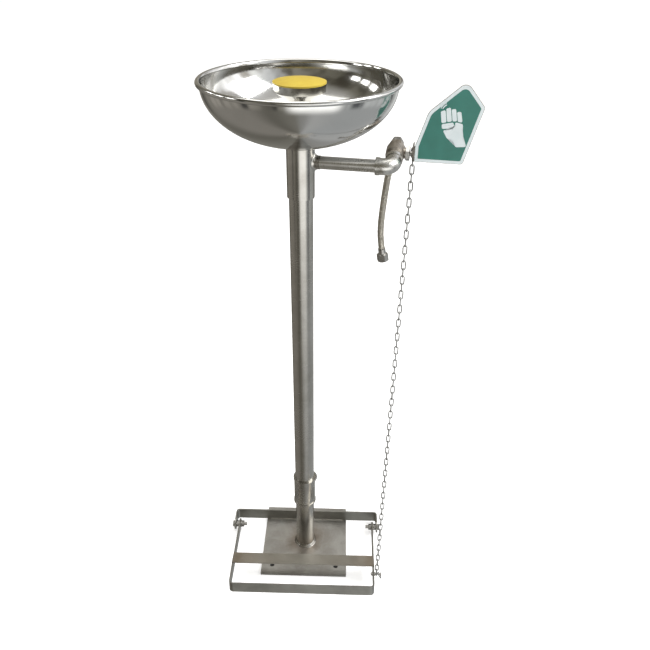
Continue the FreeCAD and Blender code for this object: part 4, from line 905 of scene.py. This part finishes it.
def makeWorld():
    # A studio: a pale room above, a dim one below with a bright doorway in front and to the right
    world = bpy.data.worlds.new("studio")
    bpy.context.scene.world = world
    world.use_nodes = True
    room = NodeMaker(world.node_tree)
    background = world.node_tree.nodes["Background"]

    def soft(way, stops):
        # Stops along a way that runs from -1 to 1
        return room.ramp(room.math("MULTIPLY_ADD", way, 0.5, 0.5), stops, "EASE")

    way = room.node("ShaderNodeTexCoord").outputs["Generated"]
    x, y, z = room.apart(way)
    flat = room.math("ADD", room.math("MULTIPLY", x, x), room.math("MULTIPLY", y, y))
    level = room.math("SQRT", room.math("MAXIMUM", flat, 1e-6))
    right, back = room.math("DIVIDE", x, level), room.math("DIVIDE", y, level)

    # Below the horizon: a dim room, upright shapes in it, and the doorway
    turn = math.radians(roomSet["doorTurn"])
    towards = room.math("ADD", room.math("MULTIPLY", x, math.sin(turn)),
                        room.math("MULTIPLY", y, -math.cos(turn)))
    door = soft(room.math("DIVIDE", towards, level), [(0.90, 0.0), (0.975, 1.0)])
    low = soft(z, [(0.17, 0.0), (0.37, 1.0)])
    side = soft(right, [(0.02, (0.34, 0.32, 0.29)), (0.22, (0.20, 0.19, 0.165)), (0.45, (0.27, 0.26, 0.23)),
                        (0.56, (0.40, 0.40, 0.39)), (0.70, (0.60, 0.61, 0.61)), (1.0, (0.54, 0.56, 0.57))])
    people = room.noise(room.joined(X=right, Y=back), roomSet["shapeScale"], 2.0, 0.5)
    shapes = room.ramp(people, [(0.41, (0.12, 0.13, 0.15)), (0.46, (0.80, 0.80, 0.79)),
                                (0.60, (1.55, 1.55, 1.54))], "EASE")
    upright = soft(z, [(0.24, 0.0), (0.33, 1.0)])  # the shapes stand near the horizon only
    side = room.mix(room.math("MULTIPLY", upright, roomSet["shapeShare"]), side,
                    room.mix(1.0, side, shapes, "MULTIPLY"))
    below = room.mix(room.math("MULTIPLY", door, low), side, roomSet["doorLight"])

    # Above it: pale walls with windows between, brighter on the right and behind, and a ceiling
    stretch = room.node("ShaderNodeMapping")
    stretch.inputs["Scale"].default_value = roomSet["barStretch"]
    room.link(way, stretch.inputs["Vector"])
    bars = room.noise(stretch.outputs["Vector"], roomSet["barScale"], 1.0, 0.5)
    wallSide = soft(x, [(0.0, (0.16, 0.15, 0.12)), (0.35, (0.30, 0.28, 0.23)), (0.58, (0.42, 0.40, 0.35)),
                        (0.80, (1.1, 1.12, 1.16)), (1.0, 1.9)])
    patches = room.ramp(bars, [(0.38, (0.50, 0.48, 0.45)), (0.47, 0.9), (0.57, (1.25, 1.26, 1.28))], "EASE")
    walls = room.mix(1.0, wallSide, patches, "MULTIPLY")
    above = room.mix(soft(z, [(0.82, 0.0), (0.97, 1.0)]), walls, roomSet["ceiling"])
    ahead = soft(y, [(0.25, (0.72, 0.72, 0.70)), (0.48, 1.0)])
    above = room.mix(1.0, above, ahead, "MULTIPLY")

    whole = room.mix(soft(z, [(0.47, 0.0), (0.53, 1.0)]), below, above)
    straight = room.node("ShaderNodeLightPath").outputs["Is Camera Ray"]
    room.link(room.mix(straight, whole, roomSet["backdrop"]), background.inputs["Color"])
    background.inputs["Strength"].default_value = roomSet["strength"]


lampSet = {
    "keyLamp": {"place": (2.6, -0.3, 3.0), "aim": (0, 0, 0.5), "size": (2.4, 2.0), "power": 92,
                "color": (1, 1, 1)},
    "topLamp": {"place": (-0.3, 0.6, 3.8), "aim": (0, 0.3, 0), "size": (2.4, 2.4), "power": 42,
                "color": (1, 0.99, 0.97)},
}
windowPlaces = {"windowA": (-2.6, -0.7, 1.95), "windowB": (-2.7, 0.1, 2.0), "windowC": (-2.5, 0.9, 2.0)}
for name, place in windowPlaces.items():
    lampSet[name] = {"place": place, "aim": (0, 0, 1.0), "size": (0.5, 0.42), "power": 5, "color": (1, 1, 1)}


def makeLamps():
    for name, setup in lampSet.items():
        data = bpy.data.lights.new(name, "AREA")
        data.shape = "RECTANGLE"
        data.size, data.size_y = setup["size"]
        data.energy = setup["power"]
        data.color = setup["color"]
        lamp = bpy.data.objects.new(name, data)
        lamp.location = setup["place"]
        aim = Vector(setup["aim"]) - Vector(setup["place"])
        lamp.rotation_euler = aim.to_track_quat("-Z", "Y").to_euler()
        bpy.context.scene.collection.objects.link(lamp)


makeCamera()
makeHose()
finishNodes()
makeChain()
makeWelds()
makeBowl()
makeSign()
makeFloor()
makeWorld()
makeLamps()
bpy.context.scene.view_settings.view_transform = "Standard"
print("stage set")
